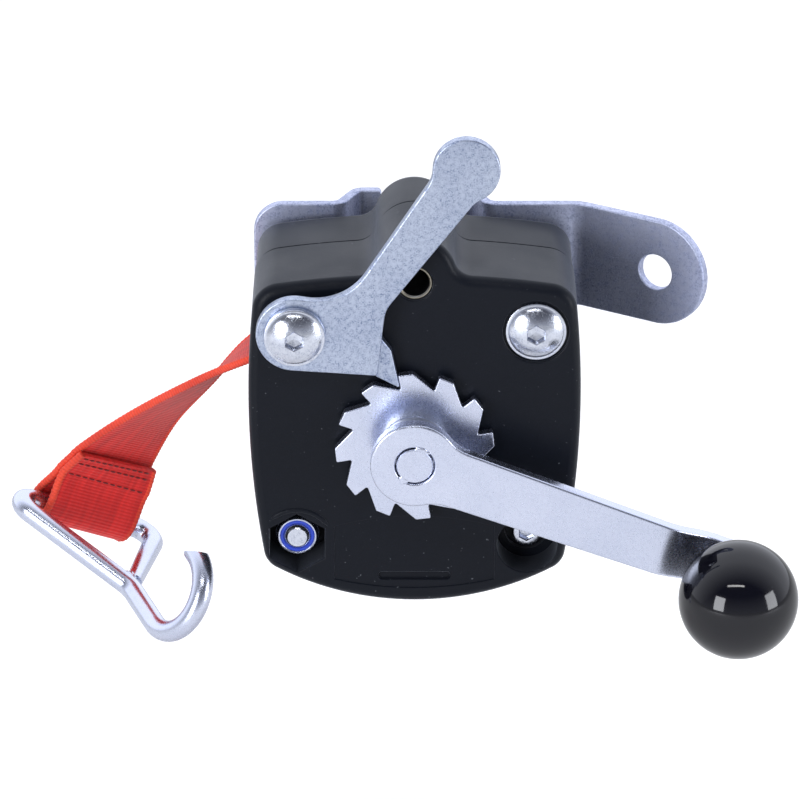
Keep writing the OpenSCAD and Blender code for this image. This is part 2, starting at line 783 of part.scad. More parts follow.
module ball_knob() {
    color("#101113") seat() rotate([0, crank_angle, 0]) difference() {
        // Turned about the crank pin's axis, so that the flat and the bore stay true
        translate([crank_l, ball_mid, 0]) rotate([-90, 0, 0]) rotate_extrude() intersection() {
            circle(d = ball_d);
            translate([0, -ball_d]) square([ball_d, ball_d + ball_flat - ball_mid]);
        }
        rod(crank_l, 0, insert_d, ball_flat - insert_l, ball_flat + cut);
    }
}

module lever_outline() {
    tab = [tab_x, tab_z, tab_d / 2];
    polygon(belt([
        [pivot_x, pivot_z, pivot_end_r], [-11.5, 24.9, 0.8], [0.6, 41, -9.5], waist(tab, 8, -64),
        tab, waist(tab, 8, 180.6), [-28.8, 64.7, -17]
    ]));
}

module pawl_lever() {
    color("#b9bfc9") seat() difference() {
        union() {
            slab(lever_front, lever_back) lever_outline();
            slab(lever_front + tip_setback, lever_back + tip_setback) polygon([
                [-12.6, 26.4], [-10.8, 22.8], pawl_tip, pawl_face_top, [-10, 35], [-14.5, 33]
            ]);
        }
        rod(pivot_x, pivot_z, pawl_bush_d + 2 * running_gap, lever_front - cut, lever_back + cut);
    }
}

module pawl_bush() {
    color("#8f9499") seat() difference() {
        union() {
            rod(pivot_x, pivot_z, pawl_bush_d, pawl_bush_front, 0);
            rod(pivot_x, pivot_z, pawl_bush_d + 5, -pawl_bush_flange, 0);
        }
        rod(pivot_x, pivot_z, screw_d + 2 * hole_gap, pawl_bush_front - cut, cut);
    }
}

module pawl_washer() {
    color("#b9bfc9") seat()
        tube(pivot_x, pivot_z, washer_d, screw_d + 2 * hole_gap, pawl_bush_front - washer_t, pawl_bush_front);
}

// ---- Fasteners ----

// Flanged button head, seated at depth y and facing the front
module button_head(x, z, y) {
    difference() {
        union() {
            rod(x, z, head_d, y - head_flange_t, y);
            translate([x, y, z]) rotate([90, 0, 0]) rotate_extrude() intersection() {
                square([dome_d / 2, head_h]);
                translate([0, head_h - 13]) circle(r = 13);
            }
        }
        hex_rod(x, z, socket_af, y - head_h - cut, y - head_h + socket_depth);
    }
}

module main_screw(x, z, y) {
    button_head(x, z, y);
    rod(x, z, screw_d, y, plate_back + rear_washer_t + nut_h + 1);
}

module pawl_pivot_screw() {
    color("#c9ced6") seat() main_screw(pivot_x, pivot_z, pawl_bush_front - washer_t);
}

module right_screw() {
    color("#c9ced6") seat() main_screw(right_screw_x, right_screw_z, right_seat_depth);
}

module lower_left_bolt() {
    color("#c9ced6") seat() {
        mirror([0, 1, 0]) translate([0, -back, 0]) button_head(nut_x, nut_z, 0);
        difference() {
            rod(nut_x, nut_z, screw_d, nut_pocket_depth - nut_h - 0.8, back);
            translate([nut_x, nut_pocket_depth - nut_h - 0.8, nut_z]) rotate([-90, 0, 0])
                rotate_extrude() polygon([[3, -0.1], [5, -0.1], [5, 1.2]]);
        }
    }
}

module lower_right_screw() {
    color("#c9ced6") seat() difference() {
        union() {
            rod(small_x, small_z, small_head_d, small_pocket_depth - small_screw_d, small_pocket_depth);
            rod(small_x, small_z, small_screw_d, small_pocket_depth, back - 6);
        }
        hex_rod(small_x, small_z, 4, small_pocket_depth - small_screw_d - cut, small_pocket_depth - 2.5);
    }
}

// Lock nut with its collar towards the given side (-1 front, 1 back)
module lock_nut(x, z, y, side) {
    far = y + side * nut_h;
    hex_y = y + side * (nut_h - nut_collar_h);
    difference() {
        union() {
            hex_rod(x, z, nut_af, min(y, hex_y), max(y, hex_y));
            rod(x, z, nut_collar_d, min(y, far), max(y, far));
        }
        rod(x, z, screw_d + 2 * thread_gap, min(y, far) - cut, max(y, far) + cut);
        rod(x, z, nut_collar_d - 1.6, min(far - side * ring_t, far + side * cut),
            max(far - side * ring_t, far + side * cut));
    }
}

module nylon_ring(x, z, y, side) {
    far = y + side * nut_h;
    tube(x, z, nut_collar_d - 1.6, screw_d + 2 * thread_gap,
        min(far - side * ring_t, far - side * 0.2), max(far - side * ring_t, far - side * 0.2));
}

rear_nut_y = plate_back + rear_washer_t;

module lock_nuts() {
    color("#c9ced6") seat() {
        lock_nut(nut_x, nut_z, nut_pocket_depth, -1);
        lock_nut(pivot_x, pivot_z, rear_nut_y, 1);
        lock_nut(right_screw_x, right_screw_z, rear_nut_y, 1);
    }
}

module nylon_rings() {
    color("#2f55c8") seat() {
        nylon_ring(nut_x, nut_z, nut_pocket_depth, -1);
        nylon_ring(pivot_x, pivot_z, rear_nut_y, 1);
        nylon_ring(right_screw_x, right_screw_z, rear_nut_y, 1);
    }
}

module rear_washers() {
    color("#b9bfc9") seat() for (p = [[pivot_x, pivot_z], [right_screw_x, right_screw_z]])
        tube(p[0], p[1], 2 * screw_d, screw_d + 2 * hole_gap, plate_back, rear_nut_y);
}

front_cover();
rear_cover();
mounting_bracket();
boss_sleeve();
front_bush();
rear_bush();
thrust_washers();
drum_shaft();
drum_core();
front_drum_flange();
rear_drum_flange();
strap_anchor_pin();
wound_strap();
strap();
hook();
ratchet_wheel();
wheel_spacer();
crank_arm();
knob_stud();
knob_insert();
ball_knob();
pawl_lever();
pawl_bush();
pawl_washer();
pawl_pivot_screw();
right_screw();
lower_left_bolt();
lower_right_screw();
lock_nuts();
nylon_rings();
rear_washers();
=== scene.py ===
# %% [markdown]
# # A hand winch for a boat trailer
#
# This lesson dresses a finished construction model in Blender. The construction model is loaded
# as a fixed frame: its pieces, joints and sizes are right, but its surfaces are plain. Each cell
# below builds one visible piece with its real edges, or one finish. The object is a black moulded
# housing with a webbing drum inside, zinc-plated levers and bracket, a black ball knob, and red
# webbing that ends in a bent wire hook.
# %% Load the frame
import json
import math

import bmesh
import bpy
from mathutils import Euler, Matrix, Vector


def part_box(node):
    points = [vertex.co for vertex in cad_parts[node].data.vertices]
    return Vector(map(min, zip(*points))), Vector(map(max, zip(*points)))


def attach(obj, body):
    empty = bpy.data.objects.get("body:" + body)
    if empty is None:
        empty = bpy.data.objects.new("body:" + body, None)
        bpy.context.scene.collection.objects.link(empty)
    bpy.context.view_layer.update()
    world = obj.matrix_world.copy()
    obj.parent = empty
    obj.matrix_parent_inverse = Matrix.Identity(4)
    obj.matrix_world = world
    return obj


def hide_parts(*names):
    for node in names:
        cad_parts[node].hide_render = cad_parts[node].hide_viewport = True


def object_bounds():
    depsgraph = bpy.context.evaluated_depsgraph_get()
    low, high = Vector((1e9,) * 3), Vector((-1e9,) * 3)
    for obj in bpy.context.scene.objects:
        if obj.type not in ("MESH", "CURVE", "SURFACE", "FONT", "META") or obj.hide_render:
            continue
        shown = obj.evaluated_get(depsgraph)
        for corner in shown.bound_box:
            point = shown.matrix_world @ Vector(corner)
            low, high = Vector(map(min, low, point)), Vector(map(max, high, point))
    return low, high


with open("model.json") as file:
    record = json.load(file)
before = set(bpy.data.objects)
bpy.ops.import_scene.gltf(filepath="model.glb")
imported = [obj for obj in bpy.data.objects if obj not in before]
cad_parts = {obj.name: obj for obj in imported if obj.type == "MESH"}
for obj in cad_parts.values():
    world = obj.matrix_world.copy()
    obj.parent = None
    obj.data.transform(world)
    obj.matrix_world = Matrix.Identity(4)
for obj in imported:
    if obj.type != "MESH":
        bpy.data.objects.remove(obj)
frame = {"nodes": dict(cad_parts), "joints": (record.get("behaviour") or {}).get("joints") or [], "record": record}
cad_box = [list(corner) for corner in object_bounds()]

# %% [markdown]
# Every piece is described in millimetres about the drum shaft, because almost everything on a
# winch sits round that shaft. One function turns such a point into the frame's own metres. Sizes
# that another piece depends on are read from the frame, so the dressed pieces follow the
# construction model.
# %% Millimetres about the shaft
MM = 0.001
shaft_low, shaft_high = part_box("drum_shaft")
SHAFT_Z = (shaft_low[2] + shaft_high[2]) / 2


def place(x, y, z):
    """A point in millimetres about the shaft, as a point of the frame."""
    return Vector((x * MM, y * MM, z * MM + SHAFT_Z))


def span(node):
    """Lowest and highest corner of a node, in millimetres about the shaft."""
    low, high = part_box(node)
    lift = Vector((0, 0, SHAFT_Z))
    return (Vector(low) - lift) / MM, (Vector(high) - lift) / MM


def joint_at(name):
    """The place of a joint's axis, in millimetres about the shaft."""
    at = Vector(joints[name]["pos_m"]) / MM
    at.z -= SHAFT_Z / MM
    return at


def middle_of(node):
    """Middle of a node across x and z, in millimetres about the shaft."""
    low, high = span(node)
    return (low.x + high.x) / 2, (low.z + high.z) / 2


joints = {joint["name"]: joint for joint in frame["joints"]}
print("shaft axis at z =", round(SHAFT_Z / MM, 2), "mm")

# %% [markdown]
# The camera looks at the winch from the front and from well above, through a long lens, so that
# parallel edges stay almost parallel. The picture is square, which makes the sensor's width the
# only size to choose.
# %% Camera
scene = bpy.context.scene
scene.view_settings.view_transform = "Standard"
AIM = Vector((-4.3, 0, -36.9)) * MM
DISTANCE = 1.4
ELEVATION = math.radians(24)
lens_data = bpy.data.cameras.new("camera")
lens_data.sensor_width = 36
lens_data.lens = 214.2
camera = bpy.data.objects.new("camera", lens_data)
camera.location = AIM + DISTANCE * Vector((0, -math.cos(ELEVATION), math.sin(ELEVATION)))
camera.rotation_mode = "QUATERNION"
camera.rotation_quaternion = (AIM - camera.location).to_track_quat("-Z", "Y")
scene.collection.objects.link(camera)
scene.camera = camera
print("camera at", [round(v, 3) for v in camera.location])

# %% [markdown]
# The sky, the floor and the materials are all node trees. These helpers add a node and give back
# its output, and every socket they fill takes either a link or a plain value, so trees can be
# written like sums.
# %% Node helpers


def add(tree, kind, **values):
    """A node with its properties, and with its sockets' values by name."""
    node = tree.nodes.new(kind)
    for name, value in values.items():
        if name in node.inputs.keys():
            feed(tree, value, node.inputs[name])
        else:
            setattr(node, name, value)
    return node


def feed(tree, value, socket):
    """Fills a socket: with a link from another node's output, or with a plain value."""
    if isinstance(value, bpy.types.NodeSocket):
        tree.links.new(value, socket)
    else:
        socket.default_value = value


def chained(tree, kind, *values, **properties):
    """A node whose first sockets take the values in order, and its first output."""
    node = add(tree, kind, **properties)
    for value, socket in zip(values, node.inputs):
        feed(tree, value, socket)
    return node.outputs[0]


def maths(tree, operation, *values, clamp=False):
    """A sum, product or other operation of links and numbers."""
    return chained(tree, "ShaderNodeMath", *values, operation=operation, use_clamp=clamp)


def mix_colours(tree, factor, first, second):
    """A colour between two others."""
    node = add(tree, "ShaderNodeMix", data_type="RGBA")
    for label, value in (("Factor", factor), ("A", first), ("B", second)):
        feed(tree, value, node.inputs[label])
    return node.outputs["Result"]


def ranged(tree, value, low, high, out_low=0.0, out_high=1.0):
    """value, stretched from low..high to out_low..out_high and clamped."""
    return chained(tree, "ShaderNodeMapRange", value, low, high, out_low, out_high)


def noise(tree, scale, detail=3.0, vector=None):
    """Fractal noise in object space; scale counts waves in a metre."""
    if vector is None:
        vector = add(tree, "ShaderNodeTexCoord").outputs["Object"]
    return add(tree, "ShaderNodeTexNoise", Vector=vector, Scale=scale, Detail=detail).outputs[0]


print("node helpers ready")

# %% [markdown]
# A white studio: the floor and the sky are pure white to the camera, while the lamps stay
# moderate so that colours come out as they are written. The floor still catches a soft shadow.
# Metal mirrors the whole room, so the sky that glossy rays see is drawn on purpose: bright
# behind, at the sides and near the floor, dark high up behind the camera, which gives plated
# steel its contrast and the ball its dark middle.
# %% White studio sky
sky = bpy.data.worlds.new("studio_sky")
scene.world = sky
sky.use_nodes = True
tree = sky.node_tree
tree.nodes.clear()
direction = add(tree, "ShaderNodeTexCoord").outputs["Generated"]
axes = add(tree, "ShaderNodeSeparateXYZ", Vector=direction).outputs
behind = ranged(tree, axes["Y"], -0.55, 0.25)
low_band = ranged(tree, axes["Z"], 0.5, -0.1, 0, 0.4)
glow = maths(tree, "MAXIMUM", behind, low_band)
mirror_tone = mix_colours(tree, glow, (0.05, 0.055, 0.075, 1), (1.2, 1.24, 1.36, 1))
flat_sky = chained(tree, "ShaderNodeBackground", (0.95, 0.97, 1.0, 1), 0.55)
white_sky = chained(tree, "ShaderNodeBackground", (1, 1, 1, 1), 1.0)
mirror_sky = chained(tree, "ShaderNodeBackground", mirror_tone, 1.0)
seen_by = add(tree, "ShaderNodeLightPath").outputs
room = chained(tree, "ShaderNodeMixShader", seen_by["Is Glossy Ray"], flat_sky, mirror_sky)
shown = chained(tree, "ShaderNodeMixShader", seen_by["Is Camera Ray"], room, white_sky)
add(tree, "ShaderNodeOutputWorld", Surface=shown)
print("sky with", len(tree.nodes), "nodes")

# %% [markdown]
# The floor lies well under the winch, which is shown hanging in the air, so that the crank and
# the hook have room to swing down in every pose. To the camera it shows white wherever no shadow
# falls: its colour is lifted by a white glow that only camera and glossy rays see, and it keeps
# the soft shadow of the winch.
# %% Floor
SWING_ROOM = 0.062
FLOOR_Z = cad_box[0][2] - SWING_ROOM
FLOOR_SIZE = 12
floor_mesh = bpy.data.meshes.new("floor")
half = FLOOR_SIZE / 2
floor_mesh.from_pydata(
    [(x, y, FLOOR_Z) for x, y in ((-half, -half), (half, -half), (half, half), (-half, half))],
    [],
    [(0, 1, 2, 3)],
)
floor = bpy.data.objects.new("floor", floor_mesh)
scene.collection.objects.link(floor)
paper = bpy.data.materials.new("white_paper")
paper.use_nodes = True
tree = paper.node_tree
tree.nodes.clear()
paper_face = chained(tree, "ShaderNodeBsdfDiffuse", (0.82, 0.82, 0.83, 1))
seen_by = add(tree, "ShaderNodeLightPath").outputs
camera_glow = maths(tree, "MULTIPLY", seen_by["Is Camera Ray"], 0.45)
glow = maths(tree, "MULTIPLY_ADD", seen_by["Is Glossy Ray"], 0.02, camera_glow)
paper_glow = chained(tree, "ShaderNodeEmission", (1, 1, 1, 1), glow)
both = chained(tree, "ShaderNodeAddShader", paper_face, paper_glow)
add(tree, "ShaderNodeOutputMaterial", Surface=both)
floor_mesh.materials.append(paper)
print("floor at", round(FLOOR_Z / MM, 1), "mm")

# %% [markdown]
# Four soft lamps light the winch: two large ones from the sides, a narrow strip from above the
# camera, and a broad one straight above, which mirrors don't see, so that it brightens the top
# without a white patch.
# %% Lamps


def softbox(name, spot, size, power, tint):
    """A rectangular lamp at spot, in millimetres about the shaft, turned to the shaft."""
    data = bpy.data.lights.new(name, "AREA")
    data.shape = "RECTANGLE"
    data.size, data.size_y = size
    data.energy = power
    data.color = tint
    lamp = bpy.data.objects.new(name, data)
    lamp.location = place(*spot)
    lamp.rotation_mode = "QUATERNION"
    lamp.rotation_quaternion = (place(0, 0, 0) - lamp.location).to_track_quat("-Z", "Y")
    scene.collection.objects.link(lamp)
    return lamp


COOL = (0.93, 0.95, 1)
softbox("left_softbox", (-640, -850, 200), (0.4, 0.5), 5.5, COOL)
softbox("right_softbox", (930, -440, 140), (0.36, 0.44), 3.5, COOL)
softbox("strip_light", (-60, -680, 810), (0.6, 0.06), 1.2, (1, 1, 1))
top_lamp = softbox("top_softbox", (40, 60, 900), (0.9, 0.5), 3.5, (0.95, 0.97, 1))
top_lamp.visible_glossy = False
print(len(bpy.data.lights), "lamps")

# %% [markdown]
# ## Finishes
# Two effects serve several materials, so each is a node group with named sockets: the cloudy
# crystal speckle of zinc plating, which turned metal shares, and the fine grain of moulded
# plastic.
# %% Node group helper


def group(name, inputs):
    """A shader node group, its sockets that bring values in, and those that take results."""
    made = bpy.data.node_groups.new(name, "ShaderNodeTree")
    for label, value in inputs.items():
        kind = "NodeSocketColor" if isinstance(value, tuple) else "NodeSocketFloat"
        made.interface.new_socket(label, in_out="INPUT", socket_type=kind).default_value = value
    made.interface.new_socket("Colour", in_out="OUTPUT", socket_type="NodeSocketColor")
    made.interface.new_socket("Roughness", in_out="OUTPUT", socket_type="NodeSocketFloat")
    made.interface.new_socket("Height", in_out="OUTPUT", socket_type="NodeSocketFloat")
    return made, add(made, "NodeGroupInput").outputs, add(made, "NodeGroupOutput").inputs


print("group helper ready")

# %% [markdown]
# Zinc plating settles in small crystals. Two noises of different size make bright and dark
# flecks; a third, large one makes slow clouds. The group gives the colour, the roughness and a
# height for the bump.
# %% Zinc speckle group
tree, given, results = group(
    "zinc_speckle",
    {
        "Light": (0.8, 0.83, 0.9, 1), "Dark": (0.35, 0.4, 0.52, 1), "Flecks": 0.5, "Clouds": 0.3,
        "Roughness": 0.3,
    },
)
zinc_group = tree
fleck = ranged(tree, noise(tree, 2100, 5.0), 0.38, 0.64)
patch = ranged(tree, noise(tree, 700, 2.0), 0.34, 0.62)
cloud = ranged(tree, noise(tree, 45, 2.0), 0.35, 0.68)
crystals = maths(tree, "MULTIPLY", fleck, given["Flecks"])
patches = maths(tree, "MULTIPLY", crystals, patch)
clouds = maths(tree, "MULTIPLY", cloud, given["Clouds"])
darkness = maths(tree, "ADD", patches, clouds, clamp=True)
rough = maths(tree, "MULTIPLY_ADD", patches, 0.25, given["Roughness"])
feed(tree, mix_colours(tree, darkness, given["Light"], given["Dark"]), results["Colour"])
feed(tree, rough, results["Roughness"])
feed(tree, crystals, results["Height"])
print("group", tree.name)

# %% [markdown]
# Moulded plastic carries a fine spark-eroded grain, a few specks of dust and slow changes of
# sheen.
# %% Moulded grain group
tree, given, results = group(
    "moulded_grain",
    {"Colour": (0.02, 0.022, 0.03, 1), "Dust": 0.4, "Roughness": 0.42, "Grain Scale": 2600.0},
)
grain_group = tree
speck = ranged(tree, noise(tree, 900, 1.0), 0.74, 0.8)
dust = maths(tree, "MULTIPLY", speck, given["Dust"])
sheen_swing = ranged(tree, noise(tree, 60, 2.0), 0.3, 0.7, -0.05, 0.06)
DUST_GREY = (0.35, 0.37, 0.42, 1)
feed(tree, mix_colours(tree, dust, given["Colour"], DUST_GREY), results["Colour"])
feed(tree, maths(tree, "ADD", sheen_swing, given["Roughness"]), results["Roughness"])
feed(tree, noise(tree, given["Grain Scale"]), results["Height"])
print("group", tree.name)

# %% [markdown]
# One helper makes a material from a group: it places the group, feeds the Principled shader and
# turns the height into a bump. Numbers that are the same all over stay on the shader's own
# sockets.
# %% Material helpers


def finish_from(effect, name, values, bump, distance, **shader_values):
    """A material whose colour, roughness and bump come from a node group."""
    material = bpy.data.materials.new(name)
    material.use_nodes = True
    tree = material.node_tree
    shader = tree.nodes["Principled BSDF"].inputs
    for label, value in shader_values.items():
        shader[label.replace("_", " ")].default_value = value
    source = add(tree, "ShaderNodeGroup", node_tree=effect)
    for label, value in values.items():
        source.inputs[label].default_value = value
    feed(tree, source.outputs["Colour"], shader["Base Color"])
    feed(tree, source.outputs["Roughness"], shader["Roughness"])
    relief = add(
        tree, "ShaderNodeBump", Strength=bump, Distance=distance, Height=source.outputs["Height"]
    )
    feed(tree, relief.outputs[0], shader["Normal"])
    return material


def metal(name, light, dark, flecks, clouds, roughness, bump, metallic=1.0):
    """Plated or turned metal between a light and a dark tone."""
    values = {
        "Light": (*light, 1), "Dark": (*dark, 1), "Flecks": flecks, "Clouds": clouds,
        "Roughness": roughness,
    }
    return finish_from(zinc_group, name, values, bump, 0.0001, Metallic=metallic)


def plastic(name, colour, dust, roughness, bump, distance, grain=2600.0, **shader_values):
    """Moulded plastic of one colour, with its dust and grain."""
    values = {"Colour": (*colour, 1), "Dust": dust, "Roughness": roughness, "Grain Scale": grain}
    return finish_from(grain_group, name, values, bump, distance, **shader_values)


print("material helpers ready")

# %% [markdown]
# The housing is almost black, with a dull skin that grazing light lifts to slate. The ball is the
# same plastic polished. The lever's plating is dull and speckled, the crank's and the hook's is
# smoother, and the screw heads show large crystals.
# %% Plastics and metals
black_plastic = plastic(
    "black_moulded_plastic", (0.0035, 0.005, 0.0095), 0.22, 0.38, 0.25, 0.0002,
    Specular_IOR_Level=0.17, Sheen_Weight=0.3, Sheen_Roughness=0.35, Sheen_Tint=(0.8, 0.86, 1.0, 1),
)
core_plastic = plastic("grey_core_plastic", (0.04, 0.042, 0.046), 0.1, 0.5, 0.3, 0.0002)
blue_nylon = plastic("blue_nylon", (0.03, 0.075, 0.62), 0.05, 0.35, 0.1, 0.0001)
ball_gloss = plastic(
    "polished_black_ball", (0.003, 0.003, 0.006), 0.02, 0.07, 0.02, 0.0001, 300.0,
    Specular_IOR_Level=0.5,
)
# Near-black finish for the sleeve's bore past its rim: painted shade deep in the hole.
bore_painted_shade = plastic(
    "bore_painted_shade", (0.004, 0.004, 0.005), 0.05, 0.7, 0.2, 0.0002, Specular_IOR_Level=0.1
)
bracket_zinc = metal(
    "bracket_zinc", (0.62, 0.66, 0.84), (0.26, 0.3, 0.47), 0.8, 0.3, 0.42, 0.2, metallic=0.86
)
dull_zinc = metal("speckled_zinc", (0.57, 0.63, 0.76), (0.17, 0.22, 0.38), 0.75, 0.25, 0.3, 0.2)
bright_zinc = metal("bright_zinc", (0.72, 0.755, 0.9), (0.45, 0.51, 0.66), 0.14, 0.24, 0.26, 0.08)
head_zinc = metal("crystalline_zinc", (0.78, 0.81, 0.9), (0.3, 0.34, 0.45), 0.5, 0.15, 0.18, 0.15)
turned_steel = metal("turned_steel", (0.66, 0.68, 0.72), (0.4, 0.42, 0.46), 0.25, 0.3, 0.28, 0.08)
# The sleeve's dark brownish tone is partly its own bronze-like colour and partly painted shade that darkens its
# hole.
sleeve_steel = metal("sleeve_steel_tone_and_shade", (0.4, 0.37, 0.3), (0.2, 0.18, 0.14), 0.4, 0.3, 0.3, 0.1)
bronze = metal("sintered_bronze", (0.6, 0.42, 0.17), (0.36, 0.23, 0.08), 0.5, 0.3, 0.36, 0.15)
print(len(bpy.data.materials), "materials so far")

# %% [markdown]
# ## Modelling helpers
# Most pieces are skins through rings of points, so a few functions carry the whole model. The
# first joins rings to faces, the second makes a shaded piece of them and sets it on its body of
# the frame.
# %% Skins and pieces
MERGE_WITHIN = 0.5e-6


def skin(rings, closed=False):
    """Points and faces through rings that all have the same number of points."""
    count = len(rings[0])
    points = [point for ring in rings for point in ring]
    faces = []
    for j in range(len(rings) if closed else len(rings) - 1):
        k = (j + 1) % len(rings)
        for i in range(count):
            n = (i + 1) % count
            faces.append((j * count + i, j * count + n, k * count + n, k * count + i))
    if not closed:
        faces.append(tuple(reversed(range(count))))
        faces.append(tuple(range(len(points) - count, len(points))))
    return points, faces


def loose(name, points, faces, merge=False):
    """A plain mesh object from points about the shaft, with its faces turned outwards."""
    mesh = bpy.data.meshes.new(name)
    mesh.from_pydata([place(*point) for point in points], [], faces)
    work = bmesh.new()
    work.from_mesh(mesh)
    if merge:
        bmesh.ops.remove_doubles(work, verts=work.verts, dist=MERGE_WITHIN)
    bmesh.ops.recalc_face_normals(work, faces=work.faces)
    work.to_mesh(mesh)
    work.free()
    obj = bpy.data.objects.new(name, mesh)
    scene.collection.objects.link(obj)
    return obj


def make_piece(name, points, faces, body, slot, material, smooth_angle=32):
    """A finished piece from points in millimetres about the shaft, on its body."""
    return dress(loose(name, points, faces, merge=True), body, material, smooth_angle)


def dress(obj, body, material, smooth_angle=32):
    """Shades a piece, gives it its finish and lets it ride on its body."""
    mesh = obj.data
    mesh.materials.clear()
    mesh.materials.append(material)
    mesh.shade_smooth()
    mesh.set_sharp_from_angle(angle=math.radians(smooth_angle))
    even = obj.modifiers.new("even_normals", "WEIGHTED_NORMAL")
    even.keep_sharp = True
    even.weight = 80
    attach(obj, body)
    return obj


print("skin helpers ready")

# %% [markdown]
# Fasteners, bushes and the nut are turned or hexagonal. A ring about an axis along Y can be
# round, or a hexagon whose corners are cut back to a circle; skins between the two give sockets
# and chamfered nuts.
# %% Rings about an axis
RING_POINTS = 72


def turns_of(count):
    """Equal steps of a full turn, in radians."""
    return [2 * math.pi * i / count for i in range(count)]


def round_ring(x, z, radius, y):
    """A circle about the point (x, z) at depth y."""
    return [(u, y, v) for u, v in circle(x, z, radius, RING_POINTS)]


def circle(x, z, radius, count=64):
    """Points of a circle in the plate's plane."""
    return [(x + radius * math.cos(t), z + radius * math.sin(t)) for t in turns_of(count)]


def hex_ring(x, z, flats, y, limit=1e9):
    """A hexagon with a corner at the top, cut back to the circle of radius limit."""
    ring = []
    for t in turns_of(RING_POINTS):
        from_flat = (t + math.pi / 6) % (math.pi / 3) - math.pi / 6
        radius = min(flats / 2 / math.cos(from_flat), limit)
        ring.append((x + radius * math.cos(t), y, z + radius * math.sin(t)))
    return ring


def lathe(name, x, z, profile, body, slot, material, closed=True):
    """A turned piece about (x, z). Each profile entry is (radius, y)."""
    rings = [round_ring(x, z, radius, y) for radius, y in profile]
    points, faces = skin(rings, closed=closed)
    return make_piece(name, points, faces, body, slot, material)


def chamfered_tube(node, x, z, bore, body, slot, material, chamfer=0.4):
    """A tube with chamfered rims in place of a plain one, as long and as wide as it."""
    low, high = span(node)
    outer = (high.x - low.x) / 2
    profile = [
        (bore + chamfer, low.y), (outer - chamfer, low.y), (outer, low.y + chamfer),
        (outer, high.y - chamfer), (outer - chamfer, high.y), (bore + chamfer, high.y),
        (bore, high.y - chamfer), (bore, low.y + chamfer),
    ]
    tube = lathe(node + "_turned", x, z, profile, body, slot, material)
    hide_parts(node)


print("lathe helpers ready")

# %% [markdown]
# Flat plates have outlines of straight runs and round corners. The same outline is what a belt
# does round pulleys: it touches each pulley, and a pulley with a radius below zero presses on it
# from outside. So a few pulleys describe a whole lever, and every corner is tangent by itself.
# %% Belt outlines


def belt(pulleys, step=6):
    """Outline of a belt that runs anticlockwise round pulleys (x, z, radius)."""

    def heading(a, b):
        away = Vector((b[0] - a[0], b[1] - a[1]))
        return math.atan2(away.y, away.x) - math.asin((b[2] - a[2]) / away.length)

    outline = []
    for i, (x, z, radius) in enumerate(pulleys):
        arriving = heading(pulleys[i - 1], pulleys[i])
        leaving = heading(pulleys[i], pulleys[(i + 1) % len(pulleys)])
        full = 2 * math.pi
        turn = (leaving - arriving) % full if radius >= 0 else -((arriving - leaving) % full)
        count = max(1, math.ceil(abs(math.degrees(turn)) / step)) if radius else 1
        for k in range(count + 1):
            t = arriving - math.pi / 2 + turn * k / count
            outline.append((x + radius * math.cos(t), z + radius * math.sin(t)))
    return outline


print("belt helper ready")

# %% [markdown]
# Blender's own 2D curves make good sheet metal: they fill an outline with holes, give it a
# thickness and round its edges. The result is turned into a mesh, cut across where it will bend,
# and moved by a rule.
# %% Plates from curves


def plate_mesh(name, loops, thickness, edge, cuts=()):
    """A bmesh of a plate in millimetres: u, v in its plane and w from 0 to thickness."""
    curve = bpy.data.curves.new(name, "CURVE")
    curve.dimensions = "2D"
    curve.fill_mode = "BOTH"
    curve.extrude = thickness / 2 - edge
    curve.bevel_depth = edge
    curve.bevel_resolution = 2
    curve.offset = -edge
    for loop in loops:
        line = curve.splines.new("POLY")
        line.points.add(len(loop) - 1)
        for point, (u, v) in zip(line.points, loop):
            point.co = (u, v, 0, 1)
        line.use_cyclic_u = True
    holder = bpy.data.objects.new(name, curve)
    scene.collection.objects.link(holder)
    graph = bpy.context.evaluated_depsgraph_get()
    flat = bpy.data.meshes.new_from_object(holder.evaluated_get(graph))
    bpy.data.objects.remove(holder)
    work = bmesh.new()
    work.from_mesh(flat)
    bmesh.ops.remove_doubles(work, verts=work.verts, dist=1e-3)
    for u in cuts:
        everything = work.verts[:] + work.edges[:] + work.faces[:]
        bmesh.ops.bisect_plane(work, geom=everything, plane_co=(u, 0, 0), plane_no=(1, 0, 0), dist=1e-4)
    for vert in work.verts:
        vert.co.z += thickness / 2
    bmesh.ops.recalc_face_normals(work, faces=work.faces)
    return work


def plate_piece(name, work, rule, body, material):
    """A piece from a plate's bmesh; rule turns (u, v, w) into (x, y, z) about the shaft."""
    for vert in work.verts:
        vert.co = place(*rule(*vert.co))
    bmesh.ops.recalc_face_normals(work, faces=work.faces)
    mesh = bpy.data.meshes.new(name)
    work.to_mesh(mesh)
    work.free()
    obj = bpy.data.objects.new(name, mesh)
    scene.collection.objects.link(obj)
    return dress(obj, body, material)


def standing(front):
    """The rule for a flat plate that stands upright with its front face at depth front."""
    return lambda u, v, w: (u, front + w, v)


print("plate helpers ready")

# %% [markdown]
# ## Pawl lever
# The lever is one stamped plate: a round eye on the pivot, a body, an arm that slants up to a
# round finger tab, and a tip that is pressed back towards the wheel. Seven pulleys give the
# plate's outline and six the tip's.
# %% Pawl lever
PIVOT_X, _, PIVOT_Z = joint_at("pawl_swing")
lever_low, lever_high = span("pawl_lever")
TIP_SETBACK = 2.2
LEVER_T = lever_high.y - TIP_SETBACK - lever_low.y
EYE_HOLE_R = 6.1
lever_loop = belt([
    (PIVOT_X, PIVOT_Z, 11.3),
    (-11.6, 24.9, 0.8),
    (0.6, 41.0, -9.5),
    (22.6, 72.0, -8),
    (14.8, 88.0, 9.75),
    (-3.0, 87.8, -8),
    (-28.8, 64.7, -17),
])
work = plate_mesh("lever", [lever_loop, circle(PIVOT_X, PIVOT_Z, EYE_HOLE_R)], LEVER_T, 0.45)
lever = plate_piece(
    "pawl_lever_plate", work, standing(lever_low.y), "pawl", dull_zinc
)
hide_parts("pawl_lever")
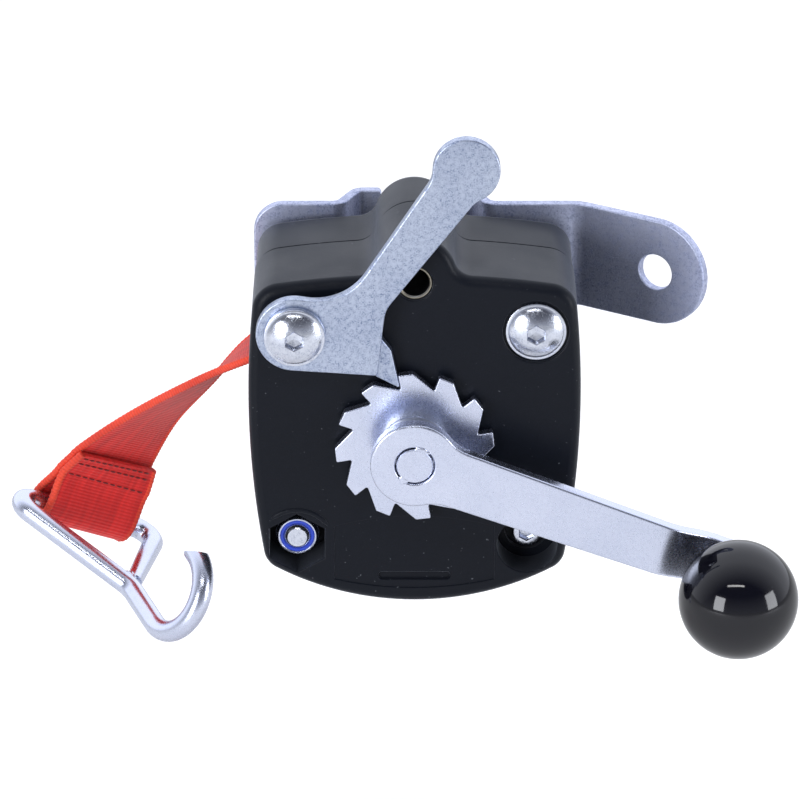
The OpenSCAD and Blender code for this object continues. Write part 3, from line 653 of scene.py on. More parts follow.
tip_loop = belt([
    (-13.0, 26.6, 0.7), (-10.9, 23.4, 0.6), (-4.9, 19.9, 0.4), (-7.3, 30.9, 0.5), (-10.3, 34.6, 0.7),
    (-14.0, 32.6, 0.8),
])
work = plate_mesh("tip", [tip_loop], LEVER_T, 0.4)
tip = plate_piece(
    "pawl_lever_tip", work, standing(lever_low.y + TIP_SETBACK), "pawl", dull_zinc
)
print("lever", len(lever.data.vertices), "points; tip", len(tip.data.vertices))

# %% [markdown]
# ## Ratchet wheel
# Twelve saw teeth: a steep face that the pawl holds, a narrow land and a long slope. The roots
# are slightly rounded by the punch, so each corner is a small pulley.
# %% Ratchet wheel
wheel_low, wheel_high = span("ratchet_wheel")
TEETH = 12
TIP_R = 23.5
ROOT_R = 19.1
LAND = math.radians(11.5)
TIP_X, TIP_Z = -4.4, 19.3
PHASE = math.atan2(TIP_Z, TIP_X) - 0.3 / math.hypot(TIP_X, TIP_Z)
WHEEL_BORE = 6.05


def on_wheel(radius, angle, corner):
    """A small pulley at a corner of a tooth."""
    return radius * math.cos(angle), radius * math.sin(angle), corner


wheel_pulleys = []
for k in range(TEETH):
    a = PHASE + k * 2 * math.pi / TEETH
    slope_end = a + 2 * math.pi / TEETH - LAND
    wheel_pulleys += [
        on_wheel(TIP_R - 0.5, a - 0.02, 0.5),
        on_wheel(ROOT_R + 0.5, a + 0.03, -0.45),
        on_wheel(TIP_R - 0.6, slope_end + 0.02, 0.6),
    ]
wheel_loop = belt(wheel_pulleys, step=22)
wheel_t = wheel_high.y - wheel_low.y
work = plate_mesh("wheel", [wheel_loop, circle(0, 0, WHEEL_BORE)], wheel_t, 0.35)
wheel = plate_piece(
    "ratchet_wheel_stamped", work, standing(wheel_low.y), "drum", bright_zinc
)
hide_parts("ratchet_wheel")
print("wheel", len(wheel.data.vertices), "points")

# %% [markdown]
# ## Crank arm
# A flat bar with a round hub, a long taper and a round end that steps back towards the housing
# just before the knob. The plate is cut across every millimetre there, and each cut moves back
# along a smooth step.
# %% Crank arm
knob_axis = joint_at("knob_spin")
CRANK_L = math.hypot(knob_axis.x, knob_axis.z)
CRANK_ANGLE = math.atan2(knob_axis.z, knob_axis.x)
HUB_R = 13
END_R = 7.5
STEP_FROM, STEP_TO, ARM_STEP = CRANK_L - 24, CRANK_L - 8, 4
ARM_T = 4.5
SHAFT_HOLE = 5.75
arm_low, _ = span("crank_arm")
arm_loop = belt([(0, 0, HUB_R), (13.6, -21, -12), (CRANK_L, 0, END_R), (13.6, 21, -12)])


def arm_rule(u, v, w):
    """The arm's plate stepped back near the knob and turned to its angle."""
    share = min(1, max(0, (u - STEP_FROM) / (STEP_TO - STEP_FROM)))
    depth = arm_low.y + w + ARM_STEP * (1 - math.cos(math.pi * share)) / 2
    c, s = math.cos(CRANK_ANGLE), math.sin(CRANK_ANGLE)
    return u * c - v * s, depth, u * s + v * c


step_cuts = [STEP_FROM - 1 + k for k in range(19)]
work = plate_mesh("arm", [arm_loop, circle(0, 0, SHAFT_HOLE)], ARM_T, 0.7, step_cuts)
arm = plate_piece("crank_arm_plate", work, arm_rule, "drum", bright_zinc)
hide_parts("crank_arm")
print("arm", round(CRANK_L, 1), "mm long at", round(math.degrees(CRANK_ANGLE), 1), "degrees")

# %% [markdown]
# The shaft's end is staked into the hub: its rim leaves a fine dark gap, which two blows of a
# punch have closed. The shaft is one turned piece with its journals; the punch marks are two low
# lumps across the gap.
# %% Staked shaft
front = span("drum_shaft")[0].y
back = span("drum_shaft")[1].y
crank_back = arm_low.y + ARM_T
drum_low, drum_high = span("front_drum_flange")[0].y, span("rear_drum_flange")[1].y
STAKED_R, FRONT_R, MIDDLE_R, REAR_R, ON_AXIS = 5.35, 7, 8, 6, 0.01
shaft = lathe(
    "drum_shaft_turned", 0, 0,
    [
        (ON_AXIS, front + 0.25), (2.5, front + 0.2), (4.6, front), (5.1, front + 0.1),
        (STAKED_R, front + 0.45), (STAKED_R, crank_back), (6, crank_back), (6, -1.5),
        (FRONT_R, -1.5), (FRONT_R, drum_low), (MIDDLE_R, drum_low), (MIDDLE_R, drum_high),
        (REAR_R, drum_high),
        (REAR_R, back - 0.5), (5.5, back), (1.6, back), (ON_AXIS, back - 2),
    ],
    "drum", "turned_steel", bright_zinc, closed=False,
)
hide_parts("drum_shaft")


def mesh_of(work):
    """Points and faces of a bmesh, which is then freed."""
    points = [tuple(vert.co) for vert in work.verts]
    faces = [tuple(v.index for v in face.verts) for face in work.faces]
    work.free()
    return points, faces


def punch_mark(name, angle, length, width):
    """A low lump of metal pushed across the staking gap."""
    lump = bmesh.new()
    bmesh.ops.create_uvsphere(lump, u_segments=20, v_segments=12, radius=1)
    across = Vector((math.cos(angle), 0, math.sin(angle)))
    along = Vector((-math.sin(angle), 0, math.cos(angle)))
    seat = across * 5.5 + Vector((0, arm_low.y + 0.05, 0))
    for vert in lump.verts:
        ripple = 1 + 0.22 * math.sin(5 * vert.co.x + 3 * vert.co.y)
        spread = (along * vert.co.x * length + across * vert.co.y * width) * ripple
        vert.co = seat + spread + Vector((0, vert.co.z * 0.4, 0))
    make_piece(name, *mesh_of(lump), "drum", "bright_zinc", bright_zinc, 60)


punch_mark("punch_mark_upper", math.radians(68), 2.4, 0.9)
punch_mark("punch_mark_lower", math.radians(236), 1.5, 1.4)
chamfered_tube("wheel_spacer", 0, 0, 6.05, "drum", "turned_steel", turned_steel)
print("shaft end at", round(front, 2), "mm")

# %% [markdown]
# ## Ball knob
# The knob is a turned and polished ball with a small flat where it meets its collar.
# %% Ball knob
ball_low, ball_high = span("ball_knob")
BALL_R = (ball_high.x - ball_low.x) / 2
ball_mid = ball_low.y + BALL_R
flat_angle = math.asin((ball_high.y - ball_mid) / BALL_R)
BALL_STEPS, COLLAR_R = 48, 7.2
profile = [(ON_AXIS, ball_low.y)]
for k in range(1, BALL_STEPS + 1):
    t = -math.pi / 2 + (flat_angle + math.pi / 2) * k / BALL_STEPS
    profile.append((BALL_R * math.cos(t), ball_mid + BALL_R * math.sin(t)))
flat_r = profile[-1][0]
profile += [
    (flat_r - 0.5, ball_high.y), (COLLAR_R, ball_high.y), (COLLAR_R, ball_high.y - 3),
    (ON_AXIS, ball_high.y - 3),
]
ball = lathe(
    "ball_knob_polished", knob_axis.x, knob_axis.z, profile, "knob", "ball_black", ball_gloss,
    closed=False,
)
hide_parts("ball_knob")
print("ball radius", round(BALL_R, 2), "mm")

# %% [markdown]
# ## Screws and nuts
# The main screws are flanged button heads with a hexagon socket. One skin runs from the socket's
# floor over the dome and the flange to the shank and its thread, so each screw is a single closed
# piece.
# %% Button-head screws
HEAD_R = 8.9
DOME_R = 8.0
HEAD_H = 4.4
SOCKET = 5
THREAD_PITCH = 1.25
DOME_BALL = 13
THREAD_CREST, THREAD_ROOT, THREADS = 4.0, 3.7, 6


def dome_depth(radius):
    """Height of the dome over its seat at a radius."""
    return HEAD_H - DOME_BALL + math.sqrt(DOME_BALL ** 2 - radius ** 2)


def button_screw(node, x, z, seat, end, way=1):
    """A screw with its head at depth seat and its shank to depth end; way -1 turns it round."""

    def rings_at(sizes):
        return [round_ring(x, z, radius, seat - way * height) for radius, height in sizes]

    rings = rings_at([(0.02, HEAD_H - 3.1)])
    for flats, height in (
        (SOCKET * 0.9, HEAD_H - 2.6), (SOCKET, dome_depth(3) - 0.25), (SOCKET + 0.5, dome_depth(3)),
    ):
        rings.append(hex_ring(x, z, flats, seat - way * height))
    rings += rings_at([(radius, dome_depth(radius)) for radius in (3.5, 4.2, 5, 6, 7, 7.6)])
    rings += rings_at([
        (DOME_R, 1.55), (DOME_R + 0.12, 1.42), (HEAD_R - 0.35, 1.4), (HEAD_R - 0.08, 1.28),
        (HEAD_R, 1.0), (HEAD_R, 0.15), (HEAD_R - 0.2, 0), (4, 0),
    ])
    thread_from = end - way * THREADS * THREAD_PITCH
    rings.append(round_ring(x, z, THREAD_CREST, thread_from - way * 1.0))
    for k in range(THREADS):
        at = thread_from + way * k * THREAD_PITCH
        rings.append(round_ring(x, z, THREAD_CREST, at))
        rings.append(round_ring(x, z, THREAD_ROOT, at + way * THREAD_PITCH / 2))
    rings.append(round_ring(x, z, 2.9, end))
    screw = make_piece(node + "_button", *skin(rings), "housing", "bright_zinc", head_zinc)
    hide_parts(node)


def ends_of(node):
    """Front and back of a node."""
    low, high = span(node)
    return low.y, high.y


front, back = ends_of("pawl_pivot_screw")
button_screw("pawl_pivot_screw", PIVOT_X, PIVOT_Z, front + HEAD_H, back)
RIGHT_X, RIGHT_Z = middle_of("right_screw")
front, back = ends_of("right_screw")
button_screw("right_screw", RIGHT_X, RIGHT_Z, front + HEAD_H, back)
NUT_X, NUT_Z = middle_of("lower_left_bolt")
front, back = ends_of("lower_left_bolt")
button_screw("lower_left_bolt", NUT_X, NUT_Z, back - HEAD_H, front, -1)
print("right screw at", round(RIGHT_X, 1), round(RIGHT_Z, 1))

# %% [markdown]
# A lock nut is a hexagon with chamfered corners, then a round collar whose lip is crimped over a
# nylon ring. The nylon ring is a piece of its own, in blue.
# %% Lock nuts
NUT_FLATS = 13
NUT_H = 8


def lock_nut(name, x, z, seat, way):
    """A nut from its seat in the direction way, and the nylon ring in its collar."""
    rings = [round_ring(x, z, 4.6, seat), round_ring(x, z, 6.2, seat)]
    for limit, height in ((6.6, 0.15), (7.25, 0.7), (7.5, 1.1), (7.5, 4.3), (7.2, 4.9), (6.5, 5.5)):
        rings.append(hex_ring(x, z, NUT_FLATS, seat + way * height, limit))
    for radius, height in (
        (6.3, 5.6), (6.25, 6.0), (6.2, 7.1), (6.0, 7.65), (5.65, 7.95), (5.3, 8.0), (5.1, 7.8),
        (5.1, 6.6), (4.05, 6.4), (4.05, 0.5),
    ):
        rings.append(round_ring(x, z, radius, seat + way * height))
    nut = make_piece(name, *skin(rings, closed=True), "housing", "bright_zinc", bright_zinc)
    ring_profile = [
        (5.09, 6.62), (5.09, 7.6), (4.9, 7.8), (4.3, 7.85), (4.1, 7.6), (4.06, 6.62),
    ]
    ring = lathe(
        name + "_nylon", x, z, [(radius, seat + way * height) for radius, height in ring_profile],
        "housing", "blue_nylon", blue_nylon,
    )
    return nut, ring


rear_nut_seat = span("rear_washers")[1].y
front_nut_seat = span("lock_nuts")[0].y + NUT_H
front_nut, front_ring = lock_nut("lock_nut_front", NUT_X, NUT_Z, front_nut_seat, -1)
lock_nut("lock_nut_rear_left", PIVOT_X, PIVOT_Z, rear_nut_seat, 1)
lock_nut("lock_nut_rear_right", RIGHT_X, RIGHT_Z, rear_nut_seat, 1)
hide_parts("lock_nuts")
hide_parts("nylon_rings")
print("nuts at the front and behind the bracket")

# %% [markdown]
# ## Carving
# Moulded shells are carved: a solid is made as a skin, and other skins are cut out of it. Each
# cutter flares a little where it leaves the surface, so every hole gets a soft mouth without any
# extra bevel.
# %% Solids, cutters and carving


def solid(name, rings):
    """A plain solid through rings, to be carved or to carve with."""
    return loose(name, *skin(rings))


def combine(obj, tools, operation):
    """Cuts or adds each tool, then removes it."""
    for tool in tools:
        step = obj.modifiers.new("combine", "BOOLEAN")
        step.operation = operation
        step.solver = "EXACT"
        step.object = tool
        graph = bpy.context.evaluated_depsgraph_get()
        result = bpy.data.meshes.new_from_object(obj.evaluated_get(graph))
        obj.modifiers.clear()
        obj.data = result
        bpy.data.objects.remove(tool)
    return obj


MOUTH = [(-1.0, 0.45), (0.0, 0.45), (0.06, 0.22), (0.18, 0.08), (0.45, 0.0)]


def round_cut(x, z, radius, depth, start=0.0, way=1):
    """A round cutter from a face at depth start, with a soft mouth."""
    rings = [round_ring(x, z, radius + flare, start + way * down) for down, flare in MOUTH]
    rings.append(round_ring(x, z, radius, start + way * depth))
    return solid("round_cut", rings)


def plain_rod(x, z, radius, y0, y1):
    """A plain cylinder along Y."""
    return solid("plain_rod", [round_ring(x, z, radius, y0), round_ring(x, z, radius, y1)])


print("cutters ready, each with a mouth of", len(MOUTH), "rings")

# %% [markdown]
# The housing's outline is a chain of tangent arcs: a bowed bottom, two long side arcs, round
# shoulders and a boss on top that carries the through-bolt. It can be set in by any distance,
# which makes walls and rounded edges from the same few numbers.
# %% Housing outline
cover_low, cover_high = span("front_cover")
HOUSING_W = cover_high.x - cover_low.x
BELLY_H = -cover_low.z
sleeve_low, sleeve_high = span("boss_sleeve")
SLEEVE_Z = (sleeve_low.z + sleeve_high.z) / 2
BOSS_Z = SLEEVE_Z + 1.8
BOSS_R = cover_high.z - BOSS_Z
BOTTOM_R, SIDE_R, SIDE_Z, SHOULDER_R, SHOULDER_H = 84, 300, 12, 280, 52.3
BOTTOM_CORNER, TOP_CORNER, BOSS_FOOT = 7, 8.5, 6


def arc(centre, radius, start, end, count):
    """Points along an arc; angles in radians."""
    turns = [start + (end - start) * i / count for i in range(count + 1)]
    return [(centre[0] + radius * math.cos(t), centre[1] + radius * math.sin(t)) for t in turns]


def meet(c0, r0, c1, r1, side):
    """Where two circles meet, left (1) or right (-1) of the way between their centres."""
    way = Vector((c1[0] - c0[0], c1[1] - c0[1]))
    along = (r0 * r0 - r1 * r1 + way.length_squared) / (2 * way.length)
    up = side * math.sqrt(r0 * r0 - along * along)
    way.normalize()
    return c0[0] + along * way.x - up * way.y, c0[1] + along * way.y + up * way.x


def housing_outline(inset):
    """The outline, set in by a distance, anticlockwise from the bottom."""

    def angle(a, b):
        return math.atan2(a[1] - b[1], a[0] - b[0])

    bottom, side = (0, BOTTOM_R - BELLY_H), (HOUSING_W / 2 - SIDE_R, SIDE_Z)
    shoulder, boss = (0, SHOULDER_H - SHOULDER_R), (0, BOSS_Z)
    low = meet(bottom, BOTTOM_R - BOTTOM_CORNER, side, SIDE_R - BOTTOM_CORNER, 1)
    high = meet(side, SIDE_R - TOP_CORNER, shoulder, SHOULDER_R - TOP_CORNER, 1)
    foot = meet(shoulder, SHOULDER_R + BOSS_FOOT, boss, BOSS_R + BOSS_FOOT, -1)
    full = 2 * math.pi
    right = arc(bottom, BOTTOM_R - inset, -math.pi / 2, angle(low, bottom), 16)
    right += arc(low, BOTTOM_CORNER - inset, angle(low, bottom), angle(low, side), 12)[1:]
    right += arc(side, SIDE_R - inset, angle(low, side), angle(high, side), 20)[1:]
    right += arc(high, TOP_CORNER - inset, angle(high, side), angle(high, shoulder), 12)[1:]
    right += arc(shoulder, SHOULDER_R - inset, angle(high, shoulder), angle(foot, shoulder), 8)[1:]
    right += arc(
        foot, BOSS_FOOT + inset, angle(shoulder, foot) + full, angle(boss, foot) + full, 10
    )[1:]
    right += arc(boss, BOSS_R - inset, angle(foot, boss), math.pi / 2, 16)[1:]
    return right + [(-x, z) for x, z in reversed(right[1:-1])]


def ring_of(outline, y):
    """A flat outline as a ring at depth y."""
    return [(x, y, z) for x, z in outline]


print("outline of", len(housing_outline(0)), "points, width", round(HOUSING_W, 1))

# %% [markdown]
# ## Front cover
# The cover is a deep tray with a rounded front edge. The room inside it is cut out as one solid,
# from which the posts for the screws and the cups behind the two pockets have been taken away, so
# they stay standing.
# %% Shell and room of the front cover
SEAM_Y = cover_high.y
WALL, FACE, EDGE_R = 3.0, 3.5, 3.0
BOLT_HOLE, SLEEVE_HOLE = 4.2, 5.35
NUT_POCKET, NUT_POCKET_FLATS = 13, 16.6
SMALL_POCKET, SMALL_POCKET_R = 13, 9
SMALL_X, SMALL_Z = middle_of("lower_right_screw")
QUARTER = [math.pi / 2 * k / 8 for k in range(9)]
MAIN_POSTS = [
    (PIVOT_X, PIVOT_Z, 7), (RIGHT_X, RIGHT_Z, 7), (NUT_X, NUT_Z, 7), (0, SLEEVE_Z, 7.25),
]


def room_inside(inset, start, end, posts):
    """The room inside a cover between two depths, with posts (x, z, radius, from, to) left out."""
    room = solid("cavity", [ring_of(housing_outline(inset), y) for y in (start, end)])
    return combine(room, [plain_rod(*post) for post in posts], "DIFFERENCE")


outer = [
    ring_of(housing_outline(EDGE_R * (1 - math.sin(t))), EDGE_R * (1 - math.cos(t))) for t in QUARTER
]
for inset, rise in ((0, 0.3), (0.2, 0.05), (0.5, 0)):
    outer.append(ring_of(housing_outline(inset), SEAM_Y - rise))
front_cover = solid("front_cover_moulding", outer)
posts = [(*post, FACE - 1, SEAM_Y + 2) for post in MAIN_POSTS + [(SMALL_X, SMALL_Z, 5)]]
posts += [
    (0, 0, 11.5, FACE - 1, 6.2), (NUT_X, NUT_Z, 10.8, FACE - 1, NUT_POCKET + 2.5),
    (SMALL_X, SMALL_Z, 10.2, FACE - 1, SMALL_POCKET + 2.5),
]
front_room = room_inside(WALL, FACE, SEAM_Y + 1, posts)
print("front cover before carving:", len(front_cover.data.vertices), "points")

# %% [markdown]
# The label panel is a shallow, bare field with an arched top and a bowed bottom, and a short slot
# lies under its middle. Each outline is written as a function of how much it grows, so its cutter
# can widen outwards.
# %% Label panel and groove
PANEL_HALF, PANEL_TOP, PANEL_BOTTOM, PANEL_DEPTH = 23.8, -24.6, -48.2, 0.4
ARCH_R, BOW_R = 85, 100
GROOVE_HALF, GROOVE_Z, GROOVE_R = 9.5, -44.4, 1.2


def panel_outline(grow):
    """The label panel: upright sides, an arched top and a bowed bottom."""
    top_r, bottom_r, half_w = ARCH_R + grow, BOW_R + grow, PANEL_HALF + grow
    a, b = math.asin(half_w / top_r), math.asin(half_w / bottom_r)
    top = arc((0, PANEL_TOP - ARCH_R), top_r, math.pi / 2 - a, math.pi / 2 + a, 16)
    return top + arc((0, PANEL_BOTTOM + BOW_R), bottom_r, 1.5 * math.pi - b, 1.5 * math.pi + b, 16)


def groove_outline(grow):
    """A short slot with round ends."""
    right = arc((GROOVE_HALF, GROOVE_Z), GROOVE_R + grow, -math.pi / 2, math.pi / 2, 10)
    return right + arc((-GROOVE_HALF, GROOVE_Z), GROOVE_R + grow, math.pi / 2, 1.5 * math.pi, 10)


def widening(name, outline, steps):
    """A cutter whose outline has grown by so much at each depth."""
    return solid(name, [ring_of(outline(grow), y) for grow, y in steps])


panel_cut = widening(
    "panel_cut", panel_outline, ((0.35, -1), (0.35, 0), (0.1, 0.12), (0, PANEL_DEPTH))
)
groove_cut = widening(
    "groove_cut", groove_outline, ((0.3, -1), (0.3, PANEL_DEPTH), (0.1, 0.6), (0, 0.8), (-0.1, 1.4))
)
print("panel", 2 * PANEL_HALF, "mm wide")

# %% [markdown]
# The webbing leaves through a slot in the left wall, which both covers share. The cutter is a box
# with round corners, made anew for each cover.
# %% Slot for the webbing
SLOT_LOW, SLOT_HIGH, SLOT_HALF, SLOT_CORNER = 7, 28, 19.5, 1.5
STRAP_MID = sum(ends_of("wound_strap")) / 2


def slot_cutter():
    """A box with round corners that opens the left wall for the webbing."""
    near, far = STRAP_MID - SLOT_HALF + SLOT_CORNER, STRAP_MID + SLOT_HALF - SLOT_CORNER
    sill, head = SLOT_LOW + SLOT_CORNER, SLOT_HIGH - SLOT_CORNER
    corners = belt(
        [(y, z, SLOT_CORNER) for y, z in ((near, sill), (far, sill), (far, head), (near, head))],
        step=15,
    )
    return solid("slot_cut", [[(x, y, z) for y, z in corners] for x in (-HOUSING_W / 2 - 1, -40)])


print("slot", 2 * SLOT_HALF, "mm wide")

# %% [markdown]
# Now the cover is carved: the room, the sleeve's hole, the screw holes with a seat for the right
# head, the shaft's opening, a hexagonal pocket for the lock nut, a round pocket for the small
# screw, and the three cutters from above.
# %% Carving the front cover
hex_rings = [
    hex_ring(NUT_X, NUT_Z, NUT_POCKET_FLATS + 2 * flare, down) for down, flare in MOUTH
]
hex_rings.append(hex_ring(NUT_X, NUT_Z, NUT_POCKET_FLATS, NUT_POCKET))
HEAD_SEAT = 1.2
front_cuts = [
    front_room,
    round_cut(0, SLEEVE_Z, SLEEVE_HOLE, SEAM_Y + 2),
    round_cut(PIVOT_X, PIVOT_Z, BOLT_HOLE, SEAM_Y + 2),
    round_cut(RIGHT_X, RIGHT_Z, BOLT_HOLE, SEAM_Y + 2, start=HEAD_SEAT),
    round_cut(RIGHT_X, RIGHT_Z, 9.75, HEAD_SEAT),
    round_cut(0, 0, 9, 12),
    solid("hex_cut", hex_rings),
    plain_rod(NUT_X, NUT_Z, BOLT_HOLE, NUT_POCKET - 1, SEAM_Y + 2),
    round_cut(SMALL_X, SMALL_Z, SMALL_POCKET_R, SMALL_POCKET - 2),
    plain_rod(SMALL_X, SMALL_Z, 6.5, SMALL_POCKET - 3, SMALL_POCKET),
    plain_rod(SMALL_X, SMALL_Z, 2.7, SMALL_POCKET - 1, SEAM_Y + 2),
    panel_cut, groove_cut, slot_cutter(),
]
combine(front_cover, front_cuts, "DIFFERENCE")
dress(front_cover, "housing", black_plastic, 28)
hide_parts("front_cover")
print("front cover", len(front_cover.data.vertices), "points")

# %% [markdown]
# The raised arc above the nut pocket is a low bead that follows a circle about the nut.
# %% Raised arc
RIDGE_R, RIDGE_WIDE, RIDGE_HIGH = 11, 0.75, 0.45


def bead_ring(spot, swell):
    """One section of the bead at an angle about the nut, half sunk in the cover's face."""
    ring = []
    for t in turns_of(12):
        radius = RIDGE_R + RIDGE_WIDE * swell * math.cos(t)
        rise = RIDGE_HIGH * swell * math.sin(t)
        ring.append((NUT_X + radius * math.cos(spot), rise, NUT_Z + radius * math.sin(spot)))
    return ring


ridge = []
for k in range(33):
    share = k / 32
    swell = math.sqrt(max(0.02, 1 - (2 * share - 1) ** 8))
    ridge.append(bead_ring(math.radians(33 + 100 * share), swell))
make_piece("nut_pocket_ridge", *skin(ridge), "housing", "housing_black", black_plastic, 60)
print("ridge of", len(ridge), "sections")

# %% [markdown]
# ## Rear cover
# The rear cover is a little narrower than the front one and starts with a thin recessed band, so
# the seam reads as a fine dark line. Its back edge is rounder, which keeps it clear of the bent
# bracket.
# %% Rear cover
BACK = span("rear_cover")[1].y
SEAM_STEP, REAR_EDGE = 0.4, 5.0
outer = [
    ring_of(housing_outline(inset), SEAM_Y + y)
    for inset, y in ((1.6, 0), (1.6, 1.1), (0.6, 1.15), (SEAM_STEP, 1.35))
]
for t in QUARTER:
    inset = SEAM_STEP + REAR_EDGE * (1 - math.cos(t))
    outer.append(ring_of(housing_outline(inset), BACK - REAR_EDGE * (1 - math.sin(t))))
rear_cover = solid("rear_cover_moulding", outer)
post_end = BACK - FACE + 1
posts = [(*post, SEAM_Y - 2, post_end) for post in MAIN_POSTS + [(SMALL_X, SMALL_Z, 5.5)]]
posts.append((0, 0, 10.5, BACK - FACE - 0.8, post_end))
rear_cuts = [
    room_inside(SEAM_STEP + WALL, SEAM_Y - 1, BACK - FACE, posts),
    plain_rod(0, SLEEVE_Z, SLEEVE_HOLE, SEAM_Y - 2, BACK + 1),
    plain_rod(PIVOT_X, PIVOT_Z, BOLT_HOLE, SEAM_Y - 2, BACK + 1),
    plain_rod(RIGHT_X, RIGHT_Z, BOLT_HOLE, SEAM_Y - 2, BACK + 1),
    round_cut(NUT_X, NUT_Z, BOLT_HOLE, BACK - SEAM_Y + 2, start=BACK, way=-1),
    plain_rod(SMALL_X, SMALL_Z, 2.55, SEAM_Y - 2, BACK - 3),
    round_cut(0, 0, 8, BACK - SEAM_Y + 2, start=BACK, way=-1),
    slot_cutter(),
]
combine(rear_cover, rear_cuts, "DIFFERENCE")
dress(rear_cover, "housing", black_plastic, 28)
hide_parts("rear_cover")
print("rear cover", len(rear_cover.data.vertices), "points")

# %% [markdown]
# The through-bolt's sleeve has a rolled front rim that shows as two fine bright arcs in its hole.
# Deeper in, its bore is painted near-black, which is painted shade. The bushes, washers and flanges
# keep the construction model's shapes and only get a finish.
# %% Sleeve and bushes
SLEEVE_BORE, SLEEVE_R, RIM_FROM = 4.25, 5.25, 0.9
sleeve = lathe(
    "boss_sleeve_turned", 0, SLEEVE_Z,
    [
        (SLEEVE_BORE + 0.35, RIM_FROM), (SLEEVE_R - 0.35, RIM_FROM), (SLEEVE_R, 1.25),
        (SLEEVE_R, 1.9), (SLEEVE_R - 0.3, 2.2), (SLEEVE_R - 0.3, 2.6), (SLEEVE_R, 2.9),
        (SLEEVE_R, BACK - 0.4), (SLEEVE_R - 0.4, BACK), (SLEEVE_BORE + 0.4, BACK),
        (SLEEVE_BORE, BACK - 0.4), (SLEEVE_BORE, 1.25),
    ],
    "housing", "turned_steel", sleeve_steel,
)
# Painted shade: the bore's faces past the rim take the near-black finish.
sleeve.data.materials.append(bore_painted_shade)
for face in sleeve.data.polygons:
    off_axis = math.hypot(face.center.x / MM, face.center.z / MM - SLEEVE_Z - SHAFT_Z / MM)
    if off_axis < SLEEVE_BORE + 0.1 and face.center.y > 3 * MM:
        face.material_index = 1
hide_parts("boss_sleeve")
chamfered_tube("pawl_washer", PIVOT_X, PIVOT_Z, 4.2, "housing", "dull_zinc", dull_zinc, 0.25)


def finish_node(node, material):
    """Gives a plain piece of the frame its material."""
    fitted = frame["nodes"][node].data.materials
    fitted.clear()
    fitted.append(material)


for material, plain_nodes in (
    (bronze, ("front_bush", "rear_bush", "knob_insert")),
    (turned_steel, ("knob_stud", "pawl_bush", "thrust_washers", "strap_anchor_pin")),
    (bright_zinc, ("front_drum_flange", "rear_drum_flange")),
    (core_plastic, ("drum_core",)),
    (dull_zinc, ("rear_washers",)),
):
    for node in plain_nodes:
        finish_node(node, material)
print("plain nodes finished")

# %% [markdown]
# The small lower screw sits deep in its pocket: a cheese head with a rounded rim and a hexagon
# socket.
# %% Small screw
front, back = ends_of("lower_right_screw")
HEAD_DEPTH = 5
rings = [round_ring(SMALL_X, SMALL_Z, 0.02, front + 2.7)]
rings += [
    hex_ring(SMALL_X, SMALL_Z, flats, front + y) for flats, y in ((4, 2.5), (4, 0.25), (4.5, 0))
]
for radius, y in (
    (3.6, front), (4.05, front + 0.2), (4.25, front + 0.7), (4.25, front + HEAD_DEPTH),
    (2.5, front + HEAD_DEPTH), (2.5, back - 0.5), (2.1, back),
):
    rings.append(round_ring(SMALL_X, SMALL_Z, radius, y))
small_screw = make_piece(
    "lower_right_screw_cheese_head", *skin(rings), "housing", "bright_zinc", head_zinc
)
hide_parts("lower_right_screw")
print("small screw at", round(SMALL_X, 1), round(SMALL_Z, 1))

# %% [markdown]
# ## Mounting bracket
# One strip of plate is laid out flat, with its notch, holes and round end, and then bent: back
# over a step behind the sleeve, forward again, and forward once more for the tab. A small walker
# follows the strip's middle line, so any point of the flat plate finds its place on the bent one.
# %% Bent path of the bracket
bracket_low, bracket_high = span("mounting_bracket")
PLATE_T = 3.0
PLATE_LOW, PLATE_HIGH = bracket_low.z, bracket_high.z
PLATE_MID_Z = (PLATE_LOW + PLATE_HIGH) / 2
LEFT_END = bracket_low.x
PLATE_MID_Y = BACK + PLATE_T / 2
tab_hole = [m for m in frame["record"]["mounts"] if m["name"] == "tab_hole"][0]
TAB_BEND = math.atan2(tab_hole["axis"][0], tab_hole["axis"][1])
BEND_R, BEND_FROM = 9, HOUSING_W / 2 - 1.5
bend_end = BEND_FROM + BEND_R * math.sin(TAB_BEND)
TAB_L = (tab_hole["pos_m"][0] / MM - bend_end) / math.cos(TAB_BEND)
STEP_R, STEP_TURN, STEP_HALF = 3.5, math.radians(65), 20
STEP_D = bracket_high.y - PLATE_T - BACK
STEP_RUN = (STEP_D - 2 * STEP_R * (1 - math.cos(STEP_TURN))) / math.sin(STEP_TURN)
STEP_SPAN = 2 * STEP_R * math.sin(STEP_TURN) + STEP_RUN * math.cos(STEP_TURN)
legs = [
    (-STEP_HALF - STEP_SPAN / 2 - LEFT_END, 0),
    (STEP_R, STEP_TURN), (STEP_RUN, 0), (STEP_R, -STEP_TURN),
    (2 * STEP_HALF - STEP_SPAN, 0), (STEP_R, -STEP_TURN), (STEP_RUN, 0), (STEP_R, STEP_TURN),
    (BEND_FROM - STEP_HALF - STEP_SPAN / 2, 0), (BEND_R, -TAB_BEND), (TAB_L + 40, 0),
]


def leg_length(leg):
    """Length of a straight (length, 0) or of a bend (radius, turn)."""
    return leg[0] * abs(leg[1]) if leg[1] else leg[0]


def bent(u, v, w):
    """A point of the flat plate, on the bent one."""
    x, y, heading = LEFT_END, PLATE_MID_Y, 0.0
    left = u
    for leg in legs:
        run = min(max(left, 0), leg_length(leg))
        if leg[1]:
            turn = math.copysign(run / leg[0], leg[1])
            side = math.copysign(leg[0], leg[1])
            x += side * (math.sin(heading + turn) - math.sin(heading))
            y -= side * (math.cos(heading + turn) - math.cos(heading))
            heading += turn
        else:
            x += run * math.cos(heading)
            y += run * math.sin(heading)
        left -= run
        if left <= 1e-9:
            break
    off = w - PLATE_T / 2
    return x - off * math.sin(heading), y + off * math.cos(heading), v


